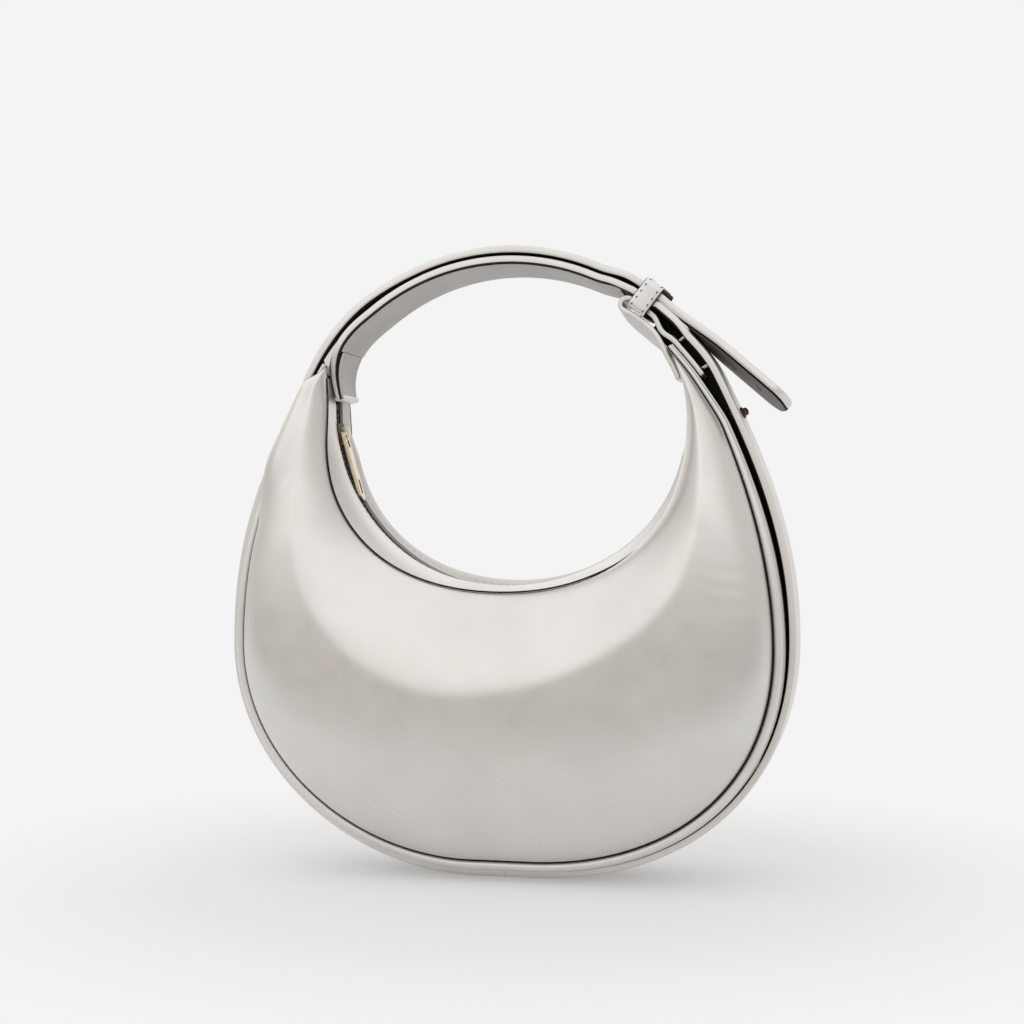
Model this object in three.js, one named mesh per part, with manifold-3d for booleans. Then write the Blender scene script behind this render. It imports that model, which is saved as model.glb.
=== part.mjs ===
// A crescent handbag in silver leather, closed by a curved zip and carried by a belt that runs
// right round it and forms the handle. Millimetres, +Z up, front facing -Y.
// The origin is the middle of the flat stretch of belt that the bag stands on.
import * as THREE from 'three';
import { mergeVertices } from 'three/addons/utils/BufferGeometryUtils.js';
import Module from 'manifold-3d';

// Outer face of the belt, two halves of an outline in the XZ plane, the right one fuller below
const CROWN_HEIGHT = 253.2;
const CROWN_RADIUS = 95;
const SHOULDER_ANGLE = rad(26);
const SHOULDER_REACH = 42.6;
const BELLY_HALF_WIDTH = 115.5;
const BELLY_HEIGHT = 93;
const LEFT_BELLY_REACH = 44.8;
const RIGHT_BELLY_REACH = 37;
const LEFT_BILGE_REACH = 53;
const RIGHT_BILGE_REACH = 57;
const LEFT_BASE_REACH = 52.8;
const RIGHT_BASE_REACH = 61;
const BASE_FLAT = 12;

// Inner seam, the U of the hand opening, and the horns on either side of it
const OPENING_HALF_WIDTH = 73.8;
const HAND_HEIGHT = 138.7;
const OPENING_FLOOR_REACH = 46.4;
const OPENING_SIDE_REACH = 41.2;
const LEFT_HORN_LENGTH = 26.7;
const RIGHT_HORN_LENGTH = 31;
const LEFT_HORN_LEAN = -1;
const RIGHT_HORN_LEAN = 6.5;

// Shared clearance between pieces that are sewn, glued or laid together
const CLEAR = 0.3;

// Belt straps
const STRAP_WIDTH = 27;
const STRAP_THICK = 3.2;
const STRAP_LAYER_GAP = 0.9;
const STRAP_LINING_THICK = 0.6;
const STRAP_LINING_MARGIN = 2;
const STRAP_STEP = 8;
const BELT_SLACK = 1.7;
const SLACK_BELOW_BELLY = 50;
const SLACK_ABOVE_BELLY = 80;
const SLACK_TO_BELOW_HORN = 20;

// Body leather, padding and lining
const PANEL_THICK = 1.4;
const FOAM_THICK = 3;
const LINING_THICK = 0.8;
const PANEL_BULGE = 17;
const PANEL_CREST_SHARE = 0.48;
const PANEL_ROUNDNESS = 2.3;
const SEAM_HALF_DEPTH = 20;
const HORN_HALF_DEPTH = 14;
const HORN_TAPER_LENGTH = 113;
const HORN_TIP_SEAM = 2.2;
const PADDING_FROM_TIP = 100;
const BODY_STATIONS = 40;
const PANEL_ROWS = 8;

// Outer gusset, its stiffener and the piping on its two edges
const GUSSET_THICK = 1.5;
const PIPING_RADIUS = 1.9;
const PIPING_TIP_RADIUS = 0.8;
const PIPING_STANDOFF = 0.5;
const PIPING_SIDES = 6;
const STIFFENER_THICK = 1.4;
const STIFFENER_HALF_LENGTH = 106;
const STIFFENER_MARGIN = 3;

// Slip pocket on the back lining
const POCKET_HALF_LENGTH = 50;
const POCKET_DROP = 32;
const POCKET_FLOOR = 15;
const POCKET_SLACK = 0.9;

// Zip, on a circle in the XZ plane that runs a little outside the inner seam
const ZIP_OUTSET = 2.1;
const ZIP_FLOOR_SINK = 1.2;
const ZIP_END_BELOW_TAB = 3.5;
const ZIP_CLOSING_AFTER = 5;
const ZIP_CLOSING_LENGTH = 8;
const ZIP_HUMP_FADE = 23;
const ZIP_STRIP_THICK = 1.2;
const ZIP_STRIP_EDGE = 4.4;
const ZIP_STRIP_HUMP = 3.6;
const ZIP_TAPE_THICK = 0.7;
const ZIP_TAPE_GAP = 0.5;
const ZIP_FACING_GAP = 0.6;
const ZIP_FACING_EDGE = 7;
const ZIP_FACING_FROM_TIP = 20;
const TOOTH_PITCH = 4.4;
const TOOTH_DEPTH = 1;
const CHAIN_THICK = 2;
const CHAIN_HALF_WIDTH = 2.7;
const CHAIN_SLOT = 1;
const STOP_LENGTH = 2;

// Slider and pull, at the left end of the zip
const SLIDER_PARK_GAP = 5.9;
const SLIDER_LENGTH = 9;
const SLIDER_WALL = 1.2;
const SLIDER_RUNNING_GAP = 0.4;
const SLIDER_WEB = 0.4;
const SLIDER_LIP = 0.7;
const BAIL_OPENING_LENGTH = 3.4;
const BAIL_OPENING_HEIGHT = 2.1;
const BAIL_THICK = 1.1;
const BAIL_WIDTH = 1.6;
const PULL_LENGTH = 29;
const PULL_WIDTH = 5.4;
const PULL_THICK = 1.3;
const PULL_BAIL_SLOT = 5.4;
const PULL_TIP_SLOT = 6;
const PULL_TIP_SLOT_END = 3;
const PULL_BAIL_SLOT_WIDTH = 2.4;
const PULL_TIP_SLOT_WIDTH = 1.8;

// Keeper, free tail of the outer strap and its stud
const KEEPER_ABOVE_HORN = 21.7;
const KEEPER_LENGTH = 8.5;
const KEEPER_WALL = 1.6;
const KEEPER_GAP = 0.4;
const KEEPER_LIFT = 3;
const KEEPER_LIFT_LENGTH = 26;
const KEEPER_TRAVEL = 2;
const TAIL_LENGTH = 63;
const TAIL_LIFT = rad(1.5);
const TAIL_TIP_ROUND = 9;
const TAIL_LINING_FROM = 12;
const TAIL_HOLE_RADIUS = 1.7;
const TAIL_HOLE_PITCH = 14;
const TAIL_HOLE_COUNT = 3;
const TAIL_HOLE_FROM_TIP = 14;
const STUD_BELOW_HORN = 37.6;
const STUD_BALL_RADIUS = 1.2;
const STUD_NECK_RADIUS = 0.8;
const STUD_NECK_LENGTH = 0.3;
const STUD_FLANGE_RADIUS = 2.4;
const STUD_FLANGE_THICK = 0.5;
const STUD_POST_RADIUS = 1.2;
const STUD_SCREW_RADIUS = 2.8;
const STUD_SCREW_THICK = 0.7;
const STUD_BALL_STEPS = 5;

// Ends of the inner strap and of the arm loop, and the rivets that tie them to the belt
const END_OVERLAP = 9;
const END_SWEEP = 1.2;
const TAB_LENGTH = 21;
const TAB_THICK = 1.2;
const TAB_LINING_GAP = 0.9;
const STRAP_BEND_START = 8;
const STRAP_BEND_REACH = 15;
const STRAP_BEND_LENGTH = 32;
const LOOP_NARROWER = 2;
const LOOP_THICK = 2.2;
const LOOP_EYE = 4.2;
const LOOP_SAG = 2.8;
const LOOP_INNER_BEND = 16;
const LOOP_HORN_BEND = 6;
const LOOP_TURN_STEPS = 6;
const LOOP_TAIL_LENGTH = 18;
const HORN_RECESS_FADE = 40;
const RIVETS_ABOVE_HORN = { strap_rivet_upper: 1.2, strap_rivet_lower: -14 };
const RIVET_SHANK_RADIUS = 1;
const RIVET_HEAD_RADIUS = 2.2;
const RIVET_HEAD_THICK = 0.7;
const ROUND_SIDES = 14;

const wasm = await Module();
wasm.setup();
const bag = new THREE.Group();

function rad(degrees) {
  return THREE.MathUtils.degToRad(degrees);
}

function lerp(a, b, t) {
  return THREE.MathUtils.lerp(a, b, t);
}

function smooth(value, from, to) {
  return THREE.MathUtils.smoothstep(value, from, to);
}

function v2(x, z) {
  return new THREE.Vector2(x, z);
}

function at(point, y) {
  return new THREE.Vector3(point.x, y, point.y);
}

// Finishes
function finish(color, roughness, metalness) {
  return new THREE.MeshStandardMaterial({ color, roughness, metalness });
}
const silverLeather = () => finish('#c9c6c1', 0.38, 0.75);
const greyLeather = () => finish('#b3aeaa', 0.6, 0.2);
const foam = () => finish('#e9e4d8', 0.95, 0);
const board = () => finish('#9a9186', 0.9, 0);
const liningCloth = () => finish('#8f8983', 0.9, 0);
const zipTape = () => finish('#3a2c25', 0.95, 0);
const zipMetal = () => finish('#4c3a2c', 0.5, 0.4);
const gold = () => finish('#c9a15c', 0.25, 1);
const silverMetal = () => finish('#d0d0d2', 0.25, 1);

function add(name, geometry, material) {
  const mesh = new THREE.Mesh(geometry, material);
  mesh.name = name;
  bag.add(mesh);
}

// Closed body from a row of rings with the same even number of points
function loft(rings) {
  const size = rings[0].length;
  const faces = [];
  const quad = (a, b, c, d) => faces.push([a, b, c], [a, c, d]);
  for (let i = 0; i < rings.length - 1; i += 1) {
    for (let j = 0; j < size; j += 1) {
      const next = (j + 1) % size;
      quad(i * size + j, i * size + next, (i + 1) * size + next, (i + 1) * size + j);
    }
  }
  const last = (rings.length - 1) * size;
  for (let j = 0; j < size / 2 - 1; j += 1) {
    quad(j, size - 1 - j, size - 2 - j, j + 1);
    quad(last + j, last + j + 1, last + size - 2 - j, last + size - 1 - j);
  }
  return facedOut(rings.flat(), faces);
}

function facedOut(points, faces) {
  const cross = new THREE.Vector3();
  let volume = 0;
  for (const [a, b, c] of faces) {
    volume += points[a].dot(cross.crossVectors(points[b], points[c]));
  }
  const turned = volume < 0 ? faces.map(([a, b, c]) => [a, c, b]) : faces;
  const geometry = new THREE.BufferGeometry().setFromPoints(points);
  geometry.setIndex(turned.flat());
  geometry.computeVertexNormals();
  return geometry;
}

// Boolean joins and cuts
function solid(geometry) {
  const bare = geometry.clone();
  bare.deleteAttribute('normal');
  bare.deleteAttribute('uv');
  const merged = mergeVertices(bare, 1e-4);
  const vertProperties = new Float32Array(merged.attributes.position.array);
  const triVerts = new Uint32Array(merged.index.array);
  return new wasm.Manifold(new wasm.Mesh({ numProp: 3, vertProperties, triVerts }));
}

function skin(manifold) {
  const mesh = manifold.getMesh();
  const geometry = new THREE.BufferGeometry();
  geometry.setAttribute('position', new THREE.BufferAttribute(new Float32Array(mesh.vertProperties), 3));
  geometry.setIndex(new THREE.BufferAttribute(new Uint32Array(mesh.triVerts), 1));
  geometry.computeVertexNormals();
  return geometry;
}

function joined(geometries) {
  return skin(geometries.map(solid).reduce((whole, piece) => whole.add(piece)));
}

function drilled(geometry, cutters) {
  return skin(cutters.map(solid).reduce((whole, cutter) => whole.subtract(cutter), solid(geometry)));
}

// Turns a geometry so that its own axes lie along three given directions at a given origin
function placed(geometry, origin, xAxis, yAxis, zAxis) {
  const matrix = new THREE.Matrix4().makeBasis(xAxis, yAxis, zAxis).setPosition(origin);
  return geometry.applyMatrix4(matrix);
}

// Belt outline by arc length: 0 at the base, up the right side, over the crown and down the left
const CROWN_CENTRE = CROWN_HEIGHT - CROWN_RADIUS;
const crown = new THREE.EllipseCurve(
  0, CROWN_CENTRE, CROWN_RADIUS, CROWN_RADIUS, SHOULDER_ANGLE, Math.PI / 2,
);

function rimHalf(baseReach, bilgeReach, bellyReach) {
  const half = new THREE.CurvePath();
  const shoulder = crown.getPoint(0);
  half.add(new THREE.LineCurve(v2(0, 0), v2(BASE_FLAT, 0)));
  half.add(new THREE.CubicBezierCurve(
    v2(BASE_FLAT, 0),
    v2(BASE_FLAT + baseReach, 0),
    v2(BELLY_HALF_WIDTH, BELLY_HEIGHT - bilgeReach),
    v2(BELLY_HALF_WIDTH, BELLY_HEIGHT),
  ));
  half.add(new THREE.CubicBezierCurve(
    v2(BELLY_HALF_WIDTH, BELLY_HEIGHT),
    v2(BELLY_HALF_WIDTH, BELLY_HEIGHT + bellyReach),
    shoulder.clone().addScaledVector(crown.getTangent(0), -SHOULDER_REACH),
    shoulder,
  ));
  half.add(crown);
  return half;
}
const rightRim = rimHalf(RIGHT_BASE_REACH, RIGHT_BILGE_REACH, RIGHT_BELLY_REACH);
const leftRim = rimHalf(LEFT_BASE_REACH, LEFT_BILGE_REACH, LEFT_BELLY_REACH);
const RIM_RIGHT = rightRim.getLength();
const RIM_LEFT = leftRim.getLength();
const RIM_WHOLE = RIM_RIGHT + RIM_LEFT;

function rimFrame(s) {
  const run = ((s % RIM_WHOLE) + RIM_WHOLE) % RIM_WHOLE;
  const side = run <= RIM_RIGHT ? 1 : -1;
  const half = side > 0 ? rightRim : leftRim;
  const t = side > 0 ? run / RIM_RIGHT : (RIM_WHOLE - run) / RIM_LEFT;
  const point = half.getPoint(t);
  const along = half.getTangent(t);
  return {
    point: v2(side * point.x, point.y),
    normal: v2(side * along.y, -along.x),
    along: v2(along.x, side * along.y),
  };
}

function rim(s, inset) {
  const { point, normal } = rimFrame(s);
  return point.addScaledVector(normal, -inset);
}

// Arc length where a falling measure passes zero
function rimWhere(measure, from, to) {
  let low = from;
  let high = to;
  for (let i = 0; i < 40; i += 1) {
    const middle = (low + high) / 2;
    if (measure(middle) > 0) low = middle;
    else high = middle;
  }
  return low;
}

const RIM_BELLY = rightRim.getCurveLengths()[1];

function rimPath(from, to, inset, step = STRAP_STEP) {
  const count = Math.ceil((to - from) / step);
  return Array.from({ length: count + 1 }, (_, i) => {
    const s = lerp(from, to, i / count);
    return rim(s, inset(s));
  });
}

// Unit normals of a path in the XZ plane, pointing away from the bag's middle
function pathNormals(path) {
  return path.map((_, i) => {
    const before = path[Math.max(i - 1, 0)];
    const after = path[Math.min(i + 1, path.length - 1)];
    const along = after.clone().sub(before).normalize();
    return v2(along.y, -along.x);
  });
}

// Strip of leather that follows a path, from one distance outside it to another
function strip(path, inner, outer, halfWidth) {
  const normals = pathNormals(path);
  const width = (i) => (typeof halfWidth === 'function' ? halfWidth(i) : halfWidth);
  return loft(path.map((point, i) => {
    const high = point.clone().addScaledVector(normals[i], outer);
    const low = point.clone().addScaledVector(normals[i], inner);
    return [at(high, -width(i)), at(high, width(i)), at(low, width(i)), at(low, -width(i))];
  }));
}

// A horn ends where its outer seam comes in over the inner one, and its inner seam a little lower;
// only the right one has a recess, for the end of the arm loop
const STRAP_SEAT = STRAP_THICK + CLEAR;
const HORN_RECESS = LOOP_THICK + CLEAR;
const TIP_SEAM_INSET = STRAP_SEAT + PIPING_STANDOFF + 2 * PIPING_TIP_RADIUS + CLEAR;
const HORN_TIP_WIDTH = 2 * PANEL_THICK + HORN_TIP_SEAM;

function horn(side, lean, tipInset, length) {
  const x = OPENING_HALF_WIDTH - lean;
  const [, belly, , end] = (side > 0 ? rightRim : leftRim).getCurveLengths();
  const run = rimWhere((s) => side * rim(side * s, tipInset).x - x, belly, end);
  const { y: top } = rim(side * run, tipInset);
  return { run, foot: v2(side * x, top - HORN_TIP_WIDTH), middle: top - length / 2, level: top - length };
}
const leftHorn = horn(-1, LEFT_HORN_LEAN, TIP_SEAM_INSET, LEFT_HORN_LENGTH);
const rightHorn = horn(1, RIGHT_HORN_LEAN, TIP_SEAM_INSET + HORN_RECESS, RIGHT_HORN_LENGTH);
const hornOf = (f) => (f < 0.5 ? leftHorn : rightHorn);
const RIM_HORN = rightHorn.run;

// Stack under the belt, as insets from its outer face at share f of the crescent
const rimOfShare = (f) => (2 * f - 1) * hornOf(f).run;
const fromTip = (f) => hornOf(f).run - Math.abs(rimOfShare(f));
const taper = (f) => smooth(fromTip(f), 0, HORN_TAPER_LENGTH);
const RECESS_END = LOOP_TAIL_LENGTH + HORN_RECESS_FADE;
const recess = (f) => HORN_RECESS * (1 - smooth(fromTip(f), LOOP_TAIL_LENGTH, RECESS_END));
const gussetInset = (f) => STRAP_SEAT + (f < 0.5 ? 0 : recess(f));
const pipingRadius = (f) => lerp(PIPING_TIP_RADIUS, PIPING_RADIUS, taper(f));
const pipingInset = (f) => gussetInset(f) + PIPING_STANDOFF + pipingRadius(f);
const seamInset = (f) => pipingInset(f) + pipingRadius(f) + CLEAR;
const seamDepth = (f) => lerp(HORN_HALF_DEPTH, SEAM_HALF_DEPTH, taper(f));

const OPENING_FLOOR = CROWN_HEIGHT - HAND_HEIGHT;

function openingHalf(side, { level, middle, foot }) {
  const half = new THREE.CurvePath();
  const x = side * OPENING_HALF_WIDTH;
  half.add(new THREE.CubicBezierCurve(
    v2(0, OPENING_FLOOR),
    v2(side * OPENING_FLOOR_REACH, OPENING_FLOOR),
    v2(x, level - OPENING_SIDE_REACH),
    v2(x, level),
  ));
  half.add(new THREE.QuadraticBezierCurve(v2(x, level), v2(x, middle), foot));
  return half;
}
const leftOpening = openingHalf(-1, leftHorn);
const rightOpening = openingHalf(1, rightHorn);

// Seams at share f of the crescent, from the left horn (0) round the base to the right horn (1)
const innerSeam = (f) => (f < 0.5 ? leftOpening : rightOpening).getPoint(Math.abs(2 * f - 1));
const outerSeam = (f) => rim(rimOfShare(f), seamInset(f));
const SHARES = Array.from({ length: BODY_STATIONS + 1 }, (_, i) => i / BODY_STATIONS);
const sharesWithin = (halfLength) => SHARES.filter((f) => Math.abs(rimOfShare(f)) <= halfLength);
const sharesBeyond = (length) => SHARES.filter((f) => fromTip(f) >= length);

// Pillow profile across a panel: 0 at both seams, 1 at the crest
function pillow(v) {
  const rise = 1 - v / PANEL_CREST_SHARE;
  const t = rise > 0 ? rise : (v - PANEL_CREST_SHARE) / (1 - PANEL_CREST_SHARE);
  return (1 - t ** PANEL_ROUNDNESS) ** (1 / PANEL_ROUNDNESS);
}

const MID_WIDTH = innerSeam(0.5).distanceTo(outerSeam(0.5));

function panelRow(f, depthInside, side, from, to) {
  const inner = innerSeam(f);
  const outer = outerSeam(f);
  const width = inner.distanceTo(outer);
  const bulge = PANEL_BULGE * Math.sqrt(width / MID_WIDTH) - depthInside;
  return Array.from({ length: PANEL_ROWS }, (_, i) => {
    const v = lerp(from, to, (1 - Math.cos(Math.PI * i / (PANEL_ROWS - 1))) / 2);
    const point = inner.clone().lerp(outer, lerp(depthInside, width - depthInside, v) / width);
    return at(point, side * (seamDepth(f) + CLEAR + bulge * pillow(v)));
  });
}

// One layer of a front (-1) or back (+1) panel, a given depth inside its outer skin
function panelLayer(side, shares, depthInside, thick, from = 0, to = 1) {
  return loft(shares.map((f) => [
    ...panelRow(f, depthInside, side, from, to),
    ...panelRow(f, depthInside + thick, side, from, to).reverse(),
  ]));
}

const FOAM_DEPTH = PANEL_THICK + CLEAR;
const LINING_DEPTH = FOAM_DEPTH + FOAM_THICK + CLEAR;
const POCKET_DEPTH = LINING_DEPTH + LINING_THICK + POCKET_SLACK;
const padded = sharesBeyond(PADDING_FROM_TIP);
for (const [word, side] of [['front', -1], ['back', 1]]) {
  add(`${word}_panel`, panelLayer(side, SHARES, 0, PANEL_THICK), silverLeather());
  add(`${word}_foam`, panelLayer(side, padded, FOAM_DEPTH, FOAM_THICK), foam());
  add(`${word}_lining`, panelLayer(side, padded, LINING_DEPTH, LINING_THICK), liningCloth());
}
const pocketShares = sharesWithin(POCKET_HALF_LENGTH);
const pocketRows = [POCKET_DROP / MID_WIDTH, 1 - POCKET_FLOOR / MID_WIDTH];
add('slip_pocket', panelLayer(1, pocketShares, POCKET_DEPTH, LINING_THICK, ...pocketRows), liningCloth());

// Outer gusset between the two piped edges, its stiffener and the lining behind it
const bodyPath = (shares, inset) => shares.map((f) => rim(rimOfShare(f), inset(f)));
const gussetHalfWidth = (f) => seamDepth(f) - pipingRadius(f) - CLEAR;
const gussetPath = bodyPath(SHARES, gussetInset);
const gusset = strip(gussetPath, -GUSSET_THICK, 0, (i) => gussetHalfWidth(SHARES[i]));
add('outer_gusset', gusset, silverLeather());

const stiffShares = sharesWithin(STIFFENER_HALF_LENGTH);
const stiffPath = bodyPath(stiffShares, (f) => gussetInset(f) + GUSSET_THICK + CLEAR);
const stiffHalfWidth = (i) => gussetHalfWidth(stiffShares[i]) - STIFFENER_MARGIN;
add('base_stiffener', strip(stiffPath, -STIFFENER_THICK, 0, stiffHalfWidth), board());

const liningPath = bodyPath(padded, (f) => seamInset(f) + LINING_DEPTH);
const liningHalfWidth = (i) => seamDepth(padded[i]);
add('gusset_lining', strip(liningPath, -LINING_THICK, 0, liningHalfWidth), liningCloth());

function piping(side) {
  return loft(SHARES.map((f) => {
    const { point, normal } = rimFrame(rimOfShare(f));
    return Array.from({ length: PIPING_SIDES }, (_, j) => {
      const turn = 2 * Math.PI * j / PIPING_SIDES;
      const outward = pipingRadius(f) * Math.cos(turn) - pipingInset(f);
      const across = pipingRadius(f) * Math.sin(turn);
      return at(point.clone().addScaledVector(normal, outward), side * seamDepth(f) + across);
    });
  }));
}
add('front_piping', piping(-1), silverLeather());
add('back_piping', piping(1), silverLeather());

// Zip gusset: polar about the zip's centre, angle 0 straight down and positive to the right
const ZIP_RADIUS = OPENING_HALF_WIDTH + ZIP_OUTSET;
const ZIP_CENTRE_HEIGHT = OPENING_FLOOR + ZIP_RADIUS - ZIP_FLOOR_SINK;
const TAB_BOTTOM = leftHorn.foot.y - END_OVERLAP;
const ZIP_END = Math.acos((ZIP_CENTRE_HEIGHT - TAB_BOTTOM + ZIP_END_BELOW_TAB) / ZIP_RADIUS);
const ZIP_CLOSED_FROM = ZIP_END + ZIP_CLOSING_AFTER / ZIP_RADIUS;
const ZIP_CLOSED_FULL = ZIP_CLOSED_FROM + ZIP_CLOSING_LENGTH / ZIP_RADIUS;
const ZIP_AT_TAB = ZIP_END + ZIP_END_BELOW_TAB / ZIP_RADIUS;
const HUMP_FULL = ZIP_END - ZIP_HUMP_FADE / ZIP_RADIUS;
const zipPoint = (angle, radius) => v2(
  radius * Math.sin(angle),
  ZIP_CENTRE_HEIGHT - radius * Math.cos(angle),
);
const TAPE_DEPTH = ZIP_STRIP_THICK + ZIP_TAPE_GAP;
const ZIP_STRIP_RADIUS = ZIP_RADIUS - ZIP_TAPE_THICK / 2 - TAPE_DEPTH;
const zipAngle = (point) => Math.atan2(point.x, ZIP_CENTRE_HEIGHT - point.y);
const closedEdge = (angle) => smooth(Math.abs(angle), ZIP_CLOSED_FROM, ZIP_CLOSED_FULL);
const alongSeam = (angle) => smooth(Math.abs(angle), ZIP_END, ZIP_AT_TAB);

function zipLayer(side, shares, rowsAcross, depthInside, thick) {
  return loft(shares.map((f) => {
    const seam = innerSeam(f);
    const angle = zipAngle(seam);
    const seamRadius = seam.distanceTo(v2(0, ZIP_CENTRE_HEIGHT));
    const edgeRadius = lerp(ZIP_STRIP_RADIUS, seamRadius, alongSeam(angle));
    const hump = ZIP_STRIP_HUMP * (1 - smooth(Math.abs(angle), HUMP_FULL, ZIP_END));
    const edge = lerp(ZIP_STRIP_EDGE, CLEAR, closedEdge(angle));
    const row = (depth) => rowsAcross(seamDepth(f), edge).map((y) => {
      const v = Math.min((seamDepth(f) - y) / (seamDepth(f) - edge), 1);
      const radius = lerp(seamRadius, edgeRadius, v) - hump * Math.sin(Math.PI * v);
      return at(zipPoint(angle, radius + depth), side * y);
    });
    return [...row(depthInside), ...row(depthInside + thick).reverse()];
  }));
}

const FACING_DEPTH = TAPE_DEPTH + ZIP_TAPE_THICK + ZIP_FACING_GAP;
const TAPE_INNER = CHAIN_HALF_WIDTH + CLEAR;
const tapeInner = (edge) => lerp(CLEAR / 2, TAPE_INNER, (edge - CLEAR) / (ZIP_STRIP_EDGE - CLEAR));
const spread = (from, to, count) => Array.from({ length: count }, (_, i) => lerp(from, to, i / (count - 1)));
const stripRows = (depth, edge) => spread(depth, edge, 5);
const tapeRows = (depth, edge) => [...spread((depth + edge) / 2, edge, 3), tapeInner(edge)];
const facingRows = (depth, edge) => spread(depth, edge + ZIP_FACING_EDGE - ZIP_STRIP_EDGE, 4);
const facingShares = sharesBeyond(ZIP_FACING_FROM_TIP);
for (const [word, side] of [['front', -1], ['back', 1]]) {
  const stripBody = zipLayer(side, SHARES, stripRows, 0, ZIP_STRIP_THICK);
  const tapeBody = zipLayer(side, SHARES, tapeRows, TAPE_DEPTH, ZIP_TAPE_THICK);
  const facingBody = zipLayer(side, facingShares, facingRows, FACING_DEPTH, LINING_THICK);
  add(`zip_gusset_${word}`, stripBody, silverLeather());
  add(`zip_tape_${word}`, tapeBody, zipTape());
  add(`zip_lining_${word}`, facingBody, liningCloth());
}

// Zip rows: a bead with pointed teeth, the two rows half a pitch apart with the slider's slot between
const TOOTH_COUNT = Math.round(2 * ZIP_END * ZIP_RADIUS / TOOTH_PITCH);

function zipRow(side, phase) {
  const steps = 2 * TOOTH_COUNT;
  return loft(Array.from({ length: steps + 1 }, (_, i) => {
    const angle = lerp(-ZIP_END, ZIP_END, i / steps);
    const tip = CHAIN_SLOT / 2 + ((i + phase) % 2) * TOOTH_DEPTH;
    const top = zipPoint(angle, ZIP_RADIUS - CHAIN_THICK / 2);
    const bottom = zipPoint(angle, ZIP_RADIUS + CHAIN_THICK / 2);
    const near = side * tip;
    const far = side * CHAIN_HALF_WIDTH;
    return [at(top, near), at(top, far), at(bottom, far), at(bottom, near)];
  }));
}
add('zip_teeth_front', zipRow(-1, 0), zipMetal());
add('zip_teeth_back', zipRow(1, 1), zipMetal());

// Pieces on the zip: X along the chain to the right end, Z towards the hand opening
const UP_Y = new THREE.Vector3(0, 1, 0);

function onZip(geometry, angle) {
  const along = new THREE.Vector3(Math.cos(angle), 0, Math.sin(angle));
  const inward = new THREE.Vector3(-Math.sin(angle), 0, Math.cos(angle));
  return placed(geometry, at(zipPoint(angle, ZIP_RADIUS), 0), along, UP_Y, inward);
}

function block(x0, x1, y0, y1, z0, z1) {
  const box = new THREE.BoxGeometry(x1 - x0, y1 - y0, z1 - z0);
  return box.translate((x0 + x1) / 2, (y0 + y1) / 2, (z0 + z1) / 2);
}

const STOP_ANGLE = ZIP_END + (STOP_LENGTH / 2 + CLEAR) / ZIP_RADIUS;

function stop(y0, y1) {
  const half = STOP_LENGTH / 2;
  return block(-half, half, y0, y1, -CHAIN_THICK / 2, CHAIN_THICK / 2);
}
const rowStop = [CHAIN_SLOT / 2, CHAIN_HALF_WIDTH];
add('zip_top_stop_front', onZip(stop(-rowStop[1], -rowStop[0]), -STOP_ANGLE), gold());
add('zip_top_stop_back', onZip(stop(rowStop[0], rowStop[1]), -STOP_ANGLE), gold());
add('zip_end_stop', onZip(stop(-CHAIN_HALF_WIDTH, CHAIN_HALF_WIDTH), STOP_ANGLE), gold());

// Slider: two plates on a web that runs in the slot between the rows, with a bail on top
const PLATE_IN = CHAIN_THICK / 2 + SLIDER_RUNNING_GAP;
const PLATE_OUT = PLATE_IN + SLIDER_WALL;
const SLIDER_HALF_WIDTH = ZIP_STRIP_EDGE - SLIDER_RUNNING_GAP;
const BAIL_TOP = PLATE_OUT + BAIL_OPENING_HEIGHT + BAIL_THICK;
const BAIL_HALF_LENGTH = BAIL_OPENING_LENGTH / 2 + BAIL_THICK;
const PIVOT_HEIGHT = PLATE_OUT + BAIL_OPENING_HEIGHT / 2;

function sliderBody() {
  const half = SLIDER_LENGTH / 2;
  const wide = SLIDER_HALF_WIDTH;
  const sink = SLIDER_WALL / 2;
  const lipRoom = wide - CHAIN_HALF_WIDTH - SLIDER_RUNNING_GAP;
  const bail = new THREE.Shape();
  bail.moveTo(-BAIL_HALF_LENGTH, PLATE_OUT - sink);
  bail.lineTo(BAIL_HALF_LENGTH, PLATE_OUT - sink);
  bail.lineTo(BAIL_HALF_LENGTH, BAIL_TOP - BAIL_THICK);
  bail.lineTo(BAIL_HALF_LENGTH - BAIL_THICK, BAIL_TOP);
  bail.lineTo(BAIL_THICK - BAIL_HALF_LENGTH, BAIL_TOP);
  bail.lineTo(-BAIL_HALF_LENGTH, BAIL_TOP - BAIL_THICK);
  const eye = new THREE.Path();
  const eyeHalf = BAIL_OPENING_LENGTH / 2;
  eye.moveTo(-eyeHalf, PLATE_OUT);
  eye.lineTo(-eyeHalf, PLATE_OUT + BAIL_OPENING_HEIGHT);
  eye.lineTo(eyeHalf, PLATE_OUT + BAIL_OPENING_HEIGHT);
  eye.lineTo(eyeHalf, PLATE_OUT);
  bail.holes.push(eye);
  const arch = new THREE.ExtrudeGeometry(bail, { depth: BAIL_WIDTH, bevelEnabled: false });
  arch.rotateX(Math.PI / 2).translate(0, BAIL_WIDTH / 2, 0);
  const lips = [-1, 1].flatMap((row) => [-1, 1].map((face) => {
    const y = [row * wide, row * (wide - lipRoom)].sort((a, b) => a - b);
    const z = [face * (PLATE_IN + sink), face * (PLATE_IN - SLIDER_LIP)].sort((a, b) => a - b);
    return block(-half, half, y[0], y[1], z[0], z[1]);
  }));
  return joined([
    block(-half, half, -wide, wide, PLATE_IN, PLATE_OUT),
    block(-half, half, -wide, wide, -PLATE_OUT, -PLATE_IN),
    block(-half / 2, half / 2, -SLIDER_WEB / 2, SLIDER_WEB / 2, -PLATE_IN - sink, PLATE_IN + sink),
    ...lips,
    arch,
  ]);
}
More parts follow.
